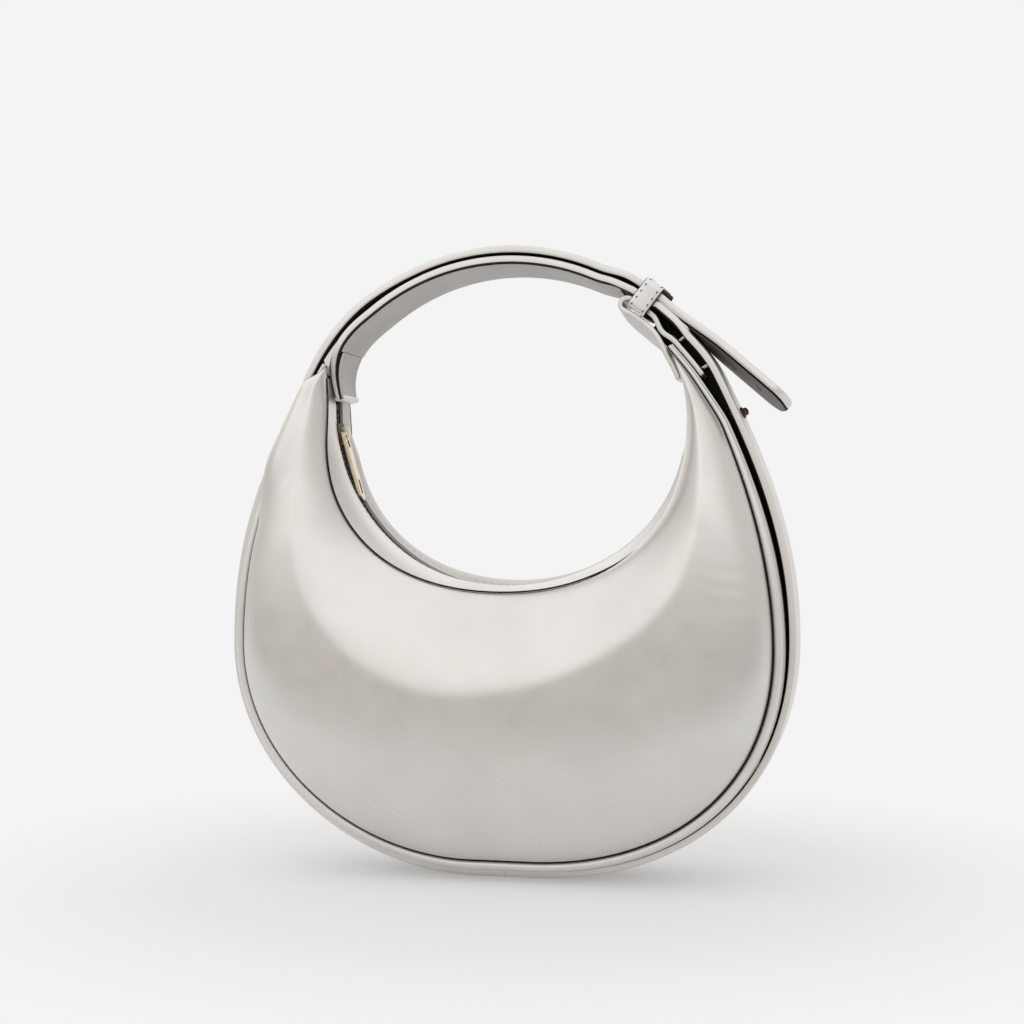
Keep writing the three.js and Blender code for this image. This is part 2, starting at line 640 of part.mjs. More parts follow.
const SLIDER_REST = (SLIDER_LENGTH / 2 + SLIDER_PARK_GAP) / ZIP_RADIUS - ZIP_END;
add('zip_slider', onZip(sliderBody(), SLIDER_REST), gold());

// Pull: a slotted bar whose head lies in the bail and whose tip rests on the chain
function pullBody() {
  const half = PULL_WIDTH / 2;
  const head = PULL_THICK / 2;
  const outline = new THREE.Shape();
  outline.moveTo(-head, -half);
  outline.lineTo(PULL_LENGTH - half, -half);
  outline.absarc(PULL_LENGTH - half, 0, half, -Math.PI / 2, Math.PI / 2, false);
  outline.lineTo(-head, half);
  const tipSlotEnd = PULL_LENGTH - PULL_TIP_SLOT_END;
  for (const [from, to, width] of [
    [head, head + PULL_BAIL_SLOT, PULL_BAIL_SLOT_WIDTH],
    [tipSlotEnd - PULL_TIP_SLOT, tipSlotEnd, PULL_TIP_SLOT_WIDTH],
  ]) {
    const hole = new THREE.Path();
    hole.moveTo(from, -width / 2);
    hole.lineTo(from, width / 2);
    hole.lineTo(to, width / 2);
    hole.lineTo(to, -width / 2);
    outline.holes.push(hole);
  }
  const options = { depth: PULL_THICK, bevelEnabled: false, curveSegments: 8 };
  return new THREE.ExtrudeGeometry(outline, options).translate(0, 0, -PULL_THICK / 2);
}
const chainFace = ZIP_RADIUS - CHAIN_THICK / 2;
const chainUnderTip = ZIP_RADIUS - Math.sqrt(chainFace ** 2 - PULL_LENGTH ** 2);
const tipLift = chainUnderTip + CLEAR + PULL_THICK / 2 - PIVOT_HEIGHT;
const PULL_TILT = Math.asin(tipLift / PULL_LENGTH);
const restingPull = pullBody().rotateY(-PULL_TILT).translate(0, 0, PIVOT_HEIGHT);
add('zip_pull', onZip(restingPull, SLIDER_REST), gold());

// Outer strap: from the keeper over the crown, down the left side to the middle of the base
const RIM_KEEPER = RIM_HORN + KEEPER_ABOVE_HORN;
const STRAP_MID = STRAP_THICK / 2;
const STRAP_HALF = STRAP_WIDTH / 2;
const TAIL_ROOT = RIM_KEEPER - KEEPER_LENGTH / 2 - STRAP_THICK;
const LIFT_FULL = RIM_KEEPER + KEEPER_LENGTH / 2 + KEEPER_GAP;
const keeperLift = (s) => KEEPER_LIFT * (1 - smooth(s, LIFT_FULL, LIFT_FULL + KEEPER_LIFT_LENGTH));
const outerPath = rimPath(TAIL_ROOT, RIM_WHOLE - CLEAR / 2, (s) => STRAP_MID - keeperLift(s));
add('outer_strap', strip(outerPath, -STRAP_MID, STRAP_MID, STRAP_HALF), silverLeather());

// Tail: X along the strap to its tip, Z away from the bag
const tailFrame = rimFrame(TAIL_ROOT);
const tailDown = at(tailFrame.along.negate(), 0).applyAxisAngle(UP_Y, -TAIL_LIFT);
const tailOut = at(tailFrame.normal, 0).applyAxisAngle(UP_Y, -TAIL_LIFT);
const tailRoot = at(rim(TAIL_ROOT, STRAP_MID - KEEPER_LIFT), 0).addScaledVector(tailDown, CLEAR);

function tailLeather(from, margin, thick, middle) {
  const half = STRAP_HALF - margin;
  const length = TAIL_LENGTH - margin;
  const round = TAIL_TIP_ROUND;
  const outline = new THREE.Shape();
  outline.moveTo(from, -half);
  outline.lineTo(length - round, -half);
  outline.bezierCurveTo(length - round / 3, -half, length, -half / 2, length, 0);
  outline.bezierCurveTo(length, half / 2, length - round / 3, half, length - round, half);
  outline.lineTo(from, half);
  for (let i = 0; i < TAIL_HOLE_COUNT; i += 1) {
    const hole = new THREE.Path();
    const x = TAIL_LENGTH - TAIL_HOLE_FROM_TIP - i * TAIL_HOLE_PITCH;
    hole.absarc(x, 0, TAIL_HOLE_RADIUS, 0, 2 * Math.PI, true);
    outline.holes.push(hole);
  }
  const options = { depth: thick, bevelEnabled: false, curveSegments: 5 };
  const body = new THREE.ExtrudeGeometry(outline, options).translate(0, 0, middle - thick / 2);
  return placed(body, tailRoot, tailDown, UP_Y, tailOut);
}
const tailLiningMiddle = -STRAP_MID - CLEAR - STRAP_LINING_THICK / 2;
add('strap_tail', tailLeather(0, 0, STRAP_THICK, 0), silverLeather());
const tailLiningSize = [TAIL_LINING_FROM, STRAP_LINING_MARGIN, STRAP_LINING_THICK];
add('strap_tail_lining', tailLeather(...tailLiningSize, tailLiningMiddle), greyLeather());

// Inner strap: up the right side with some slack, under the outer strap over the crown,
// and down inside the left horn
const HANDLE_INSET = STRAP_THICK + STRAP_LAYER_GAP + STRAP_MID;
const KEEPER_EXIT = RIM_KEEPER - KEEPER_LENGTH / 2 - KEEPER_GAP - KEEPER_TRAVEL;

function innerStrapInset(s) {
  const slack = BELT_SLACK * smooth(s, RIM_BELLY - SLACK_BELOW_BELLY, RIM_BELLY + SLACK_ABOVE_BELLY);
  const inHandle = smooth(s, RIM_HORN - SLACK_TO_BELOW_HORN, KEEPER_EXIT);
  return lerp(STRAP_MID - slack, HANDLE_INSET - keeperLift(s), inHandle);
}

const strapSeat = leftHorn.foot.clone().add(v2(CLEAR + STRAP_MID, 0));
const RIM_LEAVE = RIM_WHOLE - leftHorn.run - STRAP_BEND_LENGTH;
const leavePoint = rim(RIM_LEAVE, HANDLE_INSET);
const leaveAlong = rimFrame(RIM_LEAVE).along;
const strapBend = new THREE.CubicBezierCurve(
  leavePoint,
  leavePoint.clone().addScaledVector(leaveAlong, STRAP_BEND_START),
  strapSeat.clone().add(v2(0, STRAP_BEND_REACH)),
  strapSeat,
);
const strapEnd = new THREE.QuadraticBezierCurve(
  strapSeat,
  strapSeat.clone().sub(v2(0, END_OVERLAP / 2)),
  strapSeat.clone().add(v2(END_SWEEP, -END_OVERLAP)),
);
const bendPoints = strapBend.getSpacedPoints(8).slice(1);
const endPoints = strapEnd.getSpacedPoints(4).slice(1);
const innerPath = [
  ...rimPath(CLEAR / 2, RIM_LEAVE, innerStrapInset),
  ...bendPoints,
  ...endPoints,
];

// Round posts that stand across the belt on the right side, drawn from its outer face outwards
function lathe(profile) {
  return new THREE.LatheGeometry(profile.map(([r, h]) => v2(r, h)), ROUND_SIDES);
}

function acrossBelt(geometry, s) {
  const { normal, along } = rimFrame(s);
  const face = rim(s, innerStrapInset(s) - STRAP_MID);
  const outward = new THREE.Vector3(normal.x, 0, normal.y);
  const sideways = new THREE.Vector3(along.x, 0, along.y).negate();
  return placed(geometry, at(face, 0), sideways, outward, sideways.clone().cross(outward));
}

function drill(radius, from, to) {
  return lathe([[0, from], [radius, from], [radius, to], [0, to]]);
}

const RIM_STUD = RIM_HORN - STUD_BELOW_HORN;
const rivetSeats = Object.entries(RIVETS_ABOVE_HORN).map(([name, above]) => [name, RIM_HORN + above]);
const STRAP_FAR = -2 * STRAP_THICK;
const strapHoles = [acrossBelt(drill(STUD_POST_RADIUS + CLEAR, STRAP_FAR, STRAP_THICK), RIM_STUD)];
for (const [, s] of rivetSeats) {
  const counterbore = drill(RIVET_HEAD_RADIUS + CLEAR, -RIVET_HEAD_THICK - CLEAR, STRAP_THICK);
  strapHoles.push(acrossBelt(drill(RIVET_SHANK_RADIUS + CLEAR, STRAP_FAR, STRAP_THICK), s));
  strapHoles.push(acrossBelt(counterbore, s));
}
const innerStrap = strip(innerPath, -STRAP_MID, STRAP_MID, STRAP_HALF);
add('inner_strap', drilled(innerStrap, strapHoles), silverLeather());

// Lining under the handle and the sewn tab that closes the strap's end
const tabFrom = 1 - (TAB_LENGTH - END_OVERLAP) / strapBend.getLength();
const bendBetween = (from, to, count) => spread(from, to, count + 1).map((u) => strapBend.getPointAt(u));
const LINING_FROM = LIFT_FULL + LOOP_EYE / 2 + 2 * LOOP_THICK;
const LINING_TO_TAB = TAB_LINING_GAP / strapBend.getLength();
const liningUnder = [
  ...rimPath(LINING_FROM, RIM_LEAVE, innerStrapInset),
  ...bendBetween(0, tabFrom - LINING_TO_TAB, 6).slice(1),
];
const liningTop = -STRAP_MID - CLEAR;
const liningLow = liningTop - STRAP_LINING_THICK;
const strapLiningHalf = STRAP_HALF - STRAP_LINING_MARGIN;
add('handle_lining', strip(liningUnder, liningLow, liningTop, strapLiningHalf), greyLeather());
const tabPath = [...bendBetween(tabFrom, 1, 3), ...endPoints];
const tab = strip(tabPath, liningTop - TAB_THICK, liningTop, strapLiningHalf);
add('strap_end_tab', tab, greyLeather());

// Arm loop: from inside the right horn, round the keeper's lower wall and back over the horn
const LOOP_MID = LOOP_THICK / 2;
const LOOP_UPPER = HANDLE_INSET - KEEPER_LIFT + STRAP_MID + KEEPER_GAP + LOOP_MID;
const LOOP_LOWER = LOOP_UPPER + LOOP_THICK + LOOP_EYE;
const LOOP_SEAT = STRAP_SEAT + LOOP_MID;
const RIM_TURN = LIFT_FULL;

function loopInset(s) {
  const free = THREE.MathUtils.clamp((s - RIM_HORN) / (KEEPER_EXIT - RIM_HORN), 0, 1);
  return lerp(LOOP_SEAT, LOOP_UPPER, smooth(free, 0, 1)) + LOOP_SAG * Math.sin(Math.PI * free) ** 2;
}
const loopUpperPath = rimPath(RIM_HORN - LOOP_TAIL_LENGTH, RIM_TURN, loopInset, 5);
const turnFrame = rimFrame(RIM_TURN);
const turnCentre = rim(RIM_TURN, (LOOP_UPPER + LOOP_LOWER) / 2);
const turnRadius = (LOOP_LOWER - LOOP_UPPER) / 2;
const turnPath = Array.from({ length: LOOP_TURN_STEPS }, (_, i) => {
  const turn = Math.PI * (i + 1) / LOOP_TURN_STEPS;
  const point = turnCentre.clone().addScaledVector(turnFrame.normal, turnRadius * Math.cos(turn));
  return point.addScaledVector(turnFrame.along, turnRadius * Math.sin(turn));
});

// Place of the loop's sewn end beside the right horn's inner seam, a given length below its foot
function besideHorn(below) {
  const share = 1 - below / rightOpening.getLength();
  const along = rightOpening.getTangentAt(share);
  const aside = v2(-along.y, along.x).multiplyScalar(CLEAR + LOOP_MID);
  return { point: rightOpening.getPointAt(share).add(aside), along };
}
const loopSeat = besideHorn(0);
const turnEnd = turnPath.at(-1);
const loopReturn = new THREE.CubicBezierCurve(
  turnEnd,
  turnEnd.clone().addScaledVector(turnFrame.along, -LOOP_INNER_BEND),
  loopSeat.point.clone().addScaledVector(loopSeat.along, LOOP_HORN_BEND),
  loopSeat.point,
);
const loopPath = [
  ...loopUpperPath,
  ...turnPath,
  ...loopReturn.getSpacedPoints(9).slice(1),
  besideHorn(END_OVERLAP / 2).point,
  besideHorn(END_OVERLAP).point,
];
const rivetReach = (s) => loopInset(s) - innerStrapInset(s) + STRAP_MID + LOOP_MID;
const loopHoles = rivetSeats.map(([, s]) => {
  const hole = drill(RIVET_SHANK_RADIUS + CLEAR, -rivetReach(s) - LOOP_THICK, -STRAP_THICK);
  return acrossBelt(hole, s);
});
const loopStrip = strip(loopPath, -LOOP_MID, LOOP_MID, (STRAP_WIDTH - LOOP_NARROWER) / 2);
add('arm_loop', drilled(loopStrip, loopHoles), silverLeather());

// Keeper: a closed band round both straps and the upper leg of the arm loop
const keeperFrame = rimFrame(RIM_KEEPER);
const keeperOut = new THREE.Vector3(keeperFrame.normal.x, 0, keeperFrame.normal.y);

function keeperBody() {
  const top = KEEPER_LIFT + KEEPER_GAP;
  const bottom = -(LOOP_UPPER + LOOP_MID + KEEPER_GAP);
  const half = STRAP_HALF + KEEPER_GAP;
  const rectangle = (path, grow) => {
    path.moveTo(bottom - grow, -half - grow);
    path.lineTo(top + grow, -half - grow);
    path.lineTo(top + grow, half + grow);
    path.lineTo(bottom - grow, half + grow);
    path.closePath();
    return path;
  };
  const band = rectangle(new THREE.Shape(), KEEPER_WALL);
  band.holes.push(rectangle(new THREE.Path(), 0));
  const options = { depth: KEEPER_LENGTH, bevelEnabled: false };
  const body = new THREE.ExtrudeGeometry(band, options).translate(0, 0, -KEEPER_LENGTH / 2);
  const along = keeperOut.clone().cross(UP_Y);
  return placed(body, at(keeperFrame.point, 0), keeperOut, UP_Y, along);
}
add('keeper', keeperBody(), silverLeather());

// Stud on the belt, with the flat screw that holds it from inside
const flangeBase = CLEAR;
const flangeTop = flangeBase + STUD_FLANGE_THICK;
const neckTop = flangeTop + STUD_NECK_LENGTH;
const ballRise = Math.sqrt(STUD_BALL_RADIUS ** 2 - STUD_NECK_RADIUS ** 2);
const ballCentre = neckTop + ballRise;
const ballFrom = Math.atan2(-ballRise, STUD_NECK_RADIUS);
const ballArc = Array.from({ length: STUD_BALL_STEPS + 1 }, (_, i) => {
  const turn = lerp(ballFrom, Math.PI / 2, i / STUD_BALL_STEPS);
  return [Math.max(STUD_BALL_RADIUS * Math.cos(turn), 0), ballCentre + STUD_BALL_RADIUS * Math.sin(turn)];
});
ballArc.at(-1)[0] = 0;
const stud = lathe([
  [0, -STRAP_THICK],
  [STUD_POST_RADIUS, -STRAP_THICK],
  [STUD_POST_RADIUS, flangeBase],
  [STUD_FLANGE_RADIUS, flangeBase],
  [STUD_FLANGE_RADIUS, flangeTop],
  [STUD_NECK_RADIUS, flangeTop],
  ...ballArc,
]);
add('stud', acrossBelt(stud, RIM_STUD), gold());
const screwTop = -STRAP_THICK - CLEAR;
const screw = drill(STUD_SCREW_RADIUS, screwTop - STUD_SCREW_THICK, screwTop);
add('stud_screw', acrossBelt(screw, RIM_STUD), gold());

// Rivets through the belt and the arm loop, their heads let into the belt
for (const [name, s] of rivetSeats) {
  const rivet = lathe([
    [0, -rivetReach(s)],
    [RIVET_SHANK_RADIUS, -rivetReach(s)],
    [RIVET_SHANK_RADIUS, -RIVET_HEAD_THICK],
    [RIVET_HEAD_RADIUS, -RIVET_HEAD_THICK],
    [RIVET_HEAD_RADIUS, 0],
    [0, 0],
  ]);
  add(name, acrossBelt(rivet, s), silverMetal());
}

export default bag;
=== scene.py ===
import math
import bpy
import numpy as np
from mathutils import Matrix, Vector


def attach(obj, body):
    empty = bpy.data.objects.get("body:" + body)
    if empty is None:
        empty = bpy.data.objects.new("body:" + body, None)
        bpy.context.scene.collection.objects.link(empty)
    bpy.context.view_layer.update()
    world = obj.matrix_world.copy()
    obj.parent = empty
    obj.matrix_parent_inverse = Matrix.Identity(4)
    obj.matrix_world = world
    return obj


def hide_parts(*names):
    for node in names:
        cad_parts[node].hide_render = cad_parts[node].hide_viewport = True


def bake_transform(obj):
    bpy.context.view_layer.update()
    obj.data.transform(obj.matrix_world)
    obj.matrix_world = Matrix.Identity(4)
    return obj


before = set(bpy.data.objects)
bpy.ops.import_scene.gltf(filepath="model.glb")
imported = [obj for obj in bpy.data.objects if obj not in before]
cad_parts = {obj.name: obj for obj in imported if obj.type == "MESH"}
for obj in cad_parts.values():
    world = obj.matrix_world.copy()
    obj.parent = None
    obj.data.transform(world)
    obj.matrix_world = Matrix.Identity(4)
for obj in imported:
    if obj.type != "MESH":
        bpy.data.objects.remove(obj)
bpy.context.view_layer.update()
scene = bpy.context.scene
MM = 0.001

# Millimetres. The part's source has the same lengths, but for LOOP_SAG, KEEPER_LIFT_LENGTH,
# HORN_RECESS_FADE and TAB_LINING_GAP, which follow the looks here. Outline of the belt's outer face:
CROWN_HEIGHT, CROWN_RADIUS, SHOULDER_ANGLE, SHOULDER_REACH = 253.2, 95.0, math.radians(26), 42.6
BELLY_HALF_WIDTH, BELLY_HEIGHT, BASE_FLAT = 115.5, 93.0, 12.0
# Reaches of the outline's base, bilge and belly
LEFT_REACHES, RIGHT_REACHES = (52.8, 53.0, 44.8), (61.0, 57.0, 37.0)
# Hand opening and horns
OPENING_HALF_WIDTH, HAND_HEIGHT = 73.8, 138.7
OPENING_FLOOR_REACH, OPENING_SIDE_REACH = 46.4, 41.2
LEFT_HORN_LENGTH, RIGHT_HORN_LENGTH, LEFT_HORN_LEAN, RIGHT_HORN_LEAN = 26.7, 31.0, -1.0, 6.5
CLEAR = 0.3
# Belt
STRAP_WIDTH, STRAP_THICK, STRAP_LAYER_GAP = 27.0, 3.2, 0.9
STRAP_LINING_THICK, STRAP_LINING_MARGIN = 0.6, 2.0
BELT_SLACK, SLACK_BELOW_BELLY, SLACK_ABOVE_BELLY, SLACK_TO_BELOW_HORN = 1.7, 50.0, 80.0, 20.0
STRAP_BEND_START, STRAP_BEND_REACH, STRAP_BEND_LENGTH = 8.0, 15.0, 32.0
# Body
PANEL_THICK, FOAM_THICK, LINING_THICK, PANEL_BULGE = 1.4, 3.0, 0.8, 17.0
SEAM_HALF_DEPTH, HORN_HALF_DEPTH, HORN_TAPER_LENGTH, HORN_TIP_SEAM = 20.0, 14.0, 113.0, 2.2
PADDING_FROM_TIP, POCKET_DROP, POCKET_FLOOR, POCKET_SLACK = 100.0, 32.0, 15.0, 0.9
LEFT_CREST, RIGHT_CREST, UPPER_ROUND, LOWER_ROUND = 0.40, 0.29, 1.4, 2.4
GUSSET_THICK, PIPING_RADIUS, PIPING_TIP_RADIUS, PIPING_STANDOFF = 1.5, 1.9, 0.8, 0.5
# Zip
ZIP_OUTSET, ZIP_FLOOR_SINK, ZIP_END_BELOW_TAB = 2.1, 1.2, 3.5
ZIP_CLOSING_AFTER, ZIP_CLOSING_LENGTH, ZIP_HUMP_FADE = 5.0, 8.0, 23.0
ZIP_STRIP_THICK, ZIP_STRIP_EDGE, ZIP_STRIP_HUMP = 1.2, 4.4, 3.6
ZIP_TAPE_THICK, ZIP_TAPE_GAP, ZIP_FACING_GAP, ZIP_FACING_EDGE, ZIP_FACING_FROM_TIP = 0.7, 0.5, 0.6, 7.0, 20.0
TOOTH_PITCH, CHAIN_HALF_WIDTH = 2.2, 2.7
# Keeper, tail, tab, loop, stud and rivets
KEEPER_ABOVE_HORN, KEEPER_LENGTH, KEEPER_WALL, KEEPER_GAP = 21.7, 8.5, 1.6, 0.4
KEEPER_LIFT, KEEPER_LIFT_LENGTH, KEEPER_TRAVEL = 3.0, 19.0, 2.0
TAIL_LENGTH, TAIL_LIFT, TAIL_TIP_ROUND, TAIL_LINING_FROM = 63.0, math.radians(1.5), 9.0, 12.0
TAIL_HOLE_RADIUS, TAIL_HOLE_PITCH, TAIL_HOLE_COUNT, TAIL_HOLE_FROM_TIP = 1.7, 14.0, 3, 14.0
END_OVERLAP, END_SWEEP, TAB_LENGTH, TAB_THICK, TAB_LINING_GAP = 9.0, 1.2, 21.0, 1.2, 0.2
LOOP_NARROWER, LOOP_THICK, LOOP_EYE, LOOP_SAG = 2.0, 2.2, 4.2, 1.6
LOOP_INNER_BEND, LOOP_HORN_BEND, LOOP_TAIL_LENGTH, HORN_RECESS_FADE = 16.0, 6.0, 18.0, 24.0
STUD_BELOW_HORN = 37.6
RIVETS = {"strap_rivet_upper": 1.2, "strap_rivet_lower": -14.0}

# Looks alone. Steps of the meshes, spare room round hidden layers, gap where the two halves of the belt meet:
RIM_STEP, STRAP_STEP, PADDED_STEP, SPARE, END_SPARE, BELT_JOINT = 1.5, 2.0, 4.0, 0.1, 2.0, 0.03
# Horns: a panel's tip runs up between the straps, and on the left its edge laps over piping and belt
LAP, LAP_SPAN, LAP_ACROSS = 4.8, (1.0, 13.0, 42.0, 76.0), (0.35, 0.85)
LEFT_TIP_RUN, RIGHT_TIP_RUN, TIP_RUN_LENGTH, TIP_SINK, TIP_SINK_LENGTH = 4.0, 1.5, 16.0, 2.0, 26.0
# Shares along the body: where the crest goes from its left to its right place, and where the pocket lies
CREST_SHIFT, POCKET_SPAN = (0.42, 0.66), (0.438, 0.562)
# Dark seam lines
SEAM_BEAD, SEAM_BEAD_AT_TIP, SEAM_LINE_OUT, SEAM_LINE_DEPTH = 0.35, 0.8, 0.2, 1.2
SEAM_HIDDEN, SEAM_HIDDEN_SPAN = 0.9, (9.0, 15.0, 50.0, 76.0)
INNER_SEAM_PROUD, INNER_SEAM_SUNK, INNER_SEAM_BACK, INNER_SEAM_DEPTH = 0.25, -0.6, -0.2, 0.9
INNER_SEAM_FADE = (0.62, 0.72)
# Gusset: least margin beside its part under the belt, painted black as shade, and how far that part stays
# inside the belt's edge
BAND_MARGIN, UNDER_BELT_MARGIN = 0.6, 0.4
# Zip: front hump and the angles it fades over, stitch line, cords, shift of the back teeth, slider's body
FRONT_HUMP, FRONT_HUMP_FADE, ZIP_STITCH_MARGIN, ZIP_SEWN_SPAN = 2.2, (0.4, 1.0), 2.0, (0.06, 0.94)
ZIP_CORD_Y, ZIP_CORD_RADIUS, TOOTH_OFFSET, SLIDER_BODY = 2.75, 0.75, 0.45, 2.7
# Turns of the straps about their run, and where they come and go
HANDLE_TWIST, LEFT_TWIST, BELT_TWIST, LOOP_TWIST, TAIL_TWIST = np.radians([4, 5, 6, 9, 8.5])
HANDLE_TWIST_IN, HANDLE_TWIST_OUT, TAIL_TWIST_LENGTH = 10.0, 40.0, 30.0
LEFT_TWIST_SPAN, BELT_TWIST_IN, BELT_TWIST_OUT = (-25.0, 12.0, 26.0, 56.0), (-6.0, 5.0), (-3.0, 3.0)
LOOP_TWIST_IN, LOOP_TWIST_OUT = 14.0, (24.0, 8.0)
# Strap ends: the thinned left end, its binding, the underside and tab, the tail. Then keeper and stitches
END_TAPER_LENGTH, END_NARROW, END_SKIVE, HANDLE_FROM_HORN = 24.0, 0.74, 0.55, 10.0
BINDING, BINDING_ROUND, BINDING_WIDER, BINDING_OUTSIDE, BINDING_INSIDE = 0.4, 0.9, 0.2, 1.2, 1.5
UNDERSIDE_WIDER, UNDERSIDE_THICKER, TAB_WIDER, TAB_STITCH_MARGIN = 1.0, 0.2, 0.9, 1.0
TAIL_LINING_MARGIN, TAIL_BLEND, TAIL_STEP, TAIL_LEAST = 0.6, 12.0, 1.6, 0.4
TAIL_TIP_SPARE, PUNCH_REACH = 0.02, 9.0
KEEPER_ROUND, KEEPER_STITCH_MARGIN = 1.3, 1.5
STITCH_SINK, STITCH_RISE, STITCH_FULLNESS, STITCH_END = 0.1, 0.75, 2.4, 0.04
# Black strips painted as shade in the gaps between the straps, from front to back, and the wedge at the left
# horn
WEB_FRONT, WEB_BACK, WEB_GAP, WEB_LEAST = 3.0, 12.0, 0.06, 0.05
WEB_BELOW_BELLY, WEB_FROM_KEEPER, LOOP_WEB_SPAN = 110.0, 1.5, (-1.0, 14.0)
WEDGE_SPAN, WEDGE_MARGIN = (0.2, 0.96), 0.5


def lerp(a, b, t):
    return a + (b - a) * t


def smooth(value, low, high):
    t = np.clip((np.asarray(value, float) - low) / (high - low), 0, 1)
    return t * t * (3 - 2 * t)


def between(value, low, full, leave, gone):
    """1 from full to leave, and 0 up to low and from gone on."""
    return smooth(value, low, full) * (1 - smooth(value, leave, gone))


def unit(vectors):
    return vectors / np.linalg.norm(vectors, axis=-1)[..., None]


def run_of(points):
    """Length along a line of points, at each point."""
    return np.append(0, np.cumsum(np.linalg.norm(np.diff(points, axis=0), axis=1)))


def circle(count):
    return np.linspace(0, 2 * math.pi, count, endpoint=False)


def cubic(a, b, c, d, count=300):
    t = np.linspace(0, 1, count)[:, None]
    a, b, c, d = (np.array(p, float) for p in (a, b, c, d))
    return a * (1 - t) ** 3 + 3 * b * t * (1 - t) ** 2 + 3 * c * t * t * (1 - t) + d * t ** 3


def quadratic(a, b, c, count=120):
    t = np.linspace(0, 1, count)[:, None]
    a, b, c = (np.array(p, float) for p in (a, b, c))
    return a * (1 - t) ** 2 + 2 * b * t * (1 - t) + c * t * t


def outward(along):
    return np.stack([along[..., 1], -along[..., 0]], -1)


class Line:
    """A curve in the XZ plane, by arc length."""

    def __init__(self, *parts):
        points = np.concatenate([np.asarray(p, float) for p in parts])
        keep = np.append(True, np.linalg.norm(np.diff(points, axis=0), axis=1) > 1e-9)
        self.points = points[keep]
        self.run = run_of(self.points)
        self.length = self.run[-1]
        self.slope = unit(np.gradient(self.points, self.run, axis=0))

    def at(self, s):
        return np.stack([np.interp(s, self.run, self.points[:, k]) for k in (0, 1)], -1)

    def along(self, s):
        return unit(np.stack([np.interp(s, self.run, self.slope[:, k]) for k in (0, 1)], -1))

    def spaced(self, step):
        s = np.linspace(0, self.length, max(2, int(math.ceil(self.length / step)) + 1))
        return self.at(s), outward(self.along(s))


# Belt outline: 0 at the base, up the right side, over the crown, down the left
turn = np.linspace(SHOULDER_ANGLE, math.pi / 2, 300)
crown_arc = CROWN_RADIUS * np.stack([np.cos(turn), np.sin(turn)], 1) + [0, CROWN_HEIGHT - CROWN_RADIUS]
shoulder = crown_arc[0]
shoulder_along = np.array([-math.sin(SHOULDER_ANGLE), math.cos(SHOULDER_ANGLE)])


def rim_half(base_reach, bilge_reach, belly_reach):
    belly = np.array([BELLY_HALF_WIDTH, BELLY_HEIGHT])
    return Line(
        np.linspace((0, 0), (BASE_FLAT, 0), 40),
        cubic((BASE_FLAT, 0), (BASE_FLAT + base_reach, 0), belly - [0, bilge_reach], belly),
        cubic(belly, belly + [0, belly_reach], shoulder - SHOULDER_REACH * shoulder_along, shoulder),
        crown_arc,
    )


def belly_run(half):
    return half.run[np.argmax(half.points[:, 0])]


left_rim, right_rim = rim_half(*LEFT_REACHES), rim_half(*RIGHT_REACHES)
RIM_RIGHT = right_rim.length
RIM_WHOLE = RIM_RIGHT + left_rim.length
RIM_BELLY = belly_run(right_rim)


def rim_frame(s):
    """Point, outward normal and run of the outline at arc length s."""
    run = np.mod(np.asarray(s, float), RIM_WHOLE)
    right = run <= RIM_RIGHT
    side = np.where(right, 1.0, -1.0)
    u = np.where(right, run, RIM_WHOLE - run)
    p = np.where(right[..., None], right_rim.at(u), left_rim.at(u))
    t = np.where(right[..., None], right_rim.along(u), left_rim.along(u))
    along = np.stack([t[..., 0], side * t[..., 1]], -1)
    return np.stack([side * p[..., 0], p[..., 1]], -1), outward(along), along


def rim(s, inset):
    point, normal, _ = rim_frame(s)
    return point - normal * np.asarray(inset)[..., None]


STRAP_SEAT = STRAP_THICK + CLEAR
HORN_RECESS = LOOP_THICK + CLEAR
TIP_SEAM_INSET = STRAP_SEAT + PIPING_STANDOFF + 2 * PIPING_TIP_RADIUS + CLEAR
RIGHT_SEAM_INSET = TIP_SEAM_INSET + HORN_RECESS
HORN_TIP_WIDTH = 2 * PANEL_THICK + HORN_TIP_SEAM
OPENING_FLOOR = CROWN_HEIGHT - HAND_HEIGHT


def horn(side, half, lean, inset, length):
    """Arc length of a horn's tip, foot of its inner seam, and its half of the hand opening's seam."""
    x = OPENING_HALF_WIDTH - lean
    run = np.linspace(belly_run(half), half.length, 4000)
    tip = float(np.interp(-x, -side * rim(side * run, inset)[:, 0], run))
    top = rim(side * tip, inset)[1]
    foot, wide, level = np.array([side * x, top - HORN_TIP_WIDTH]), side * OPENING_HALF_WIDTH, top - length
    floor_end = (side * OPENING_FLOOR_REACH, OPENING_FLOOR)
    opening = Line(cubic((0, OPENING_FLOOR), floor_end, (wide, level - OPENING_SIDE_REACH), (wide, level)),
                   quadratic((wide, level), (wide, top - length / 2), foot))
    return tip, foot, opening


LEFT_HORN, left_foot, left_opening = horn(-1, left_rim, LEFT_HORN_LEAN, TIP_SEAM_INSET, LEFT_HORN_LENGTH)
RIM_HORN, _, right_opening = horn(1, right_rim, RIGHT_HORN_LEAN, RIGHT_SEAM_INSET, RIGHT_HORN_LENGTH)


# Places along the body at share f, 0 left horn, 0.5 base, 1 right horn, and insets from the belt's outer face
def horn_of(f):
    return np.where(np.asarray(f) < 0.5, LEFT_HORN, RIM_HORN)


def rim_of(f):
    return (2 * np.asarray(f) - 1) * horn_of(f)


def from_tip(f):
    return horn_of(f) - np.abs(rim_of(f))


def taper(f):
    return smooth(from_tip(f), 0, HORN_TAPER_LENGTH)


def tip_sink(away):
    """Sinking of the right horn and of the loop on it towards the horn's tip."""
    return TIP_SINK * (1 - smooth(away, 0, TIP_SINK_LENGTH))


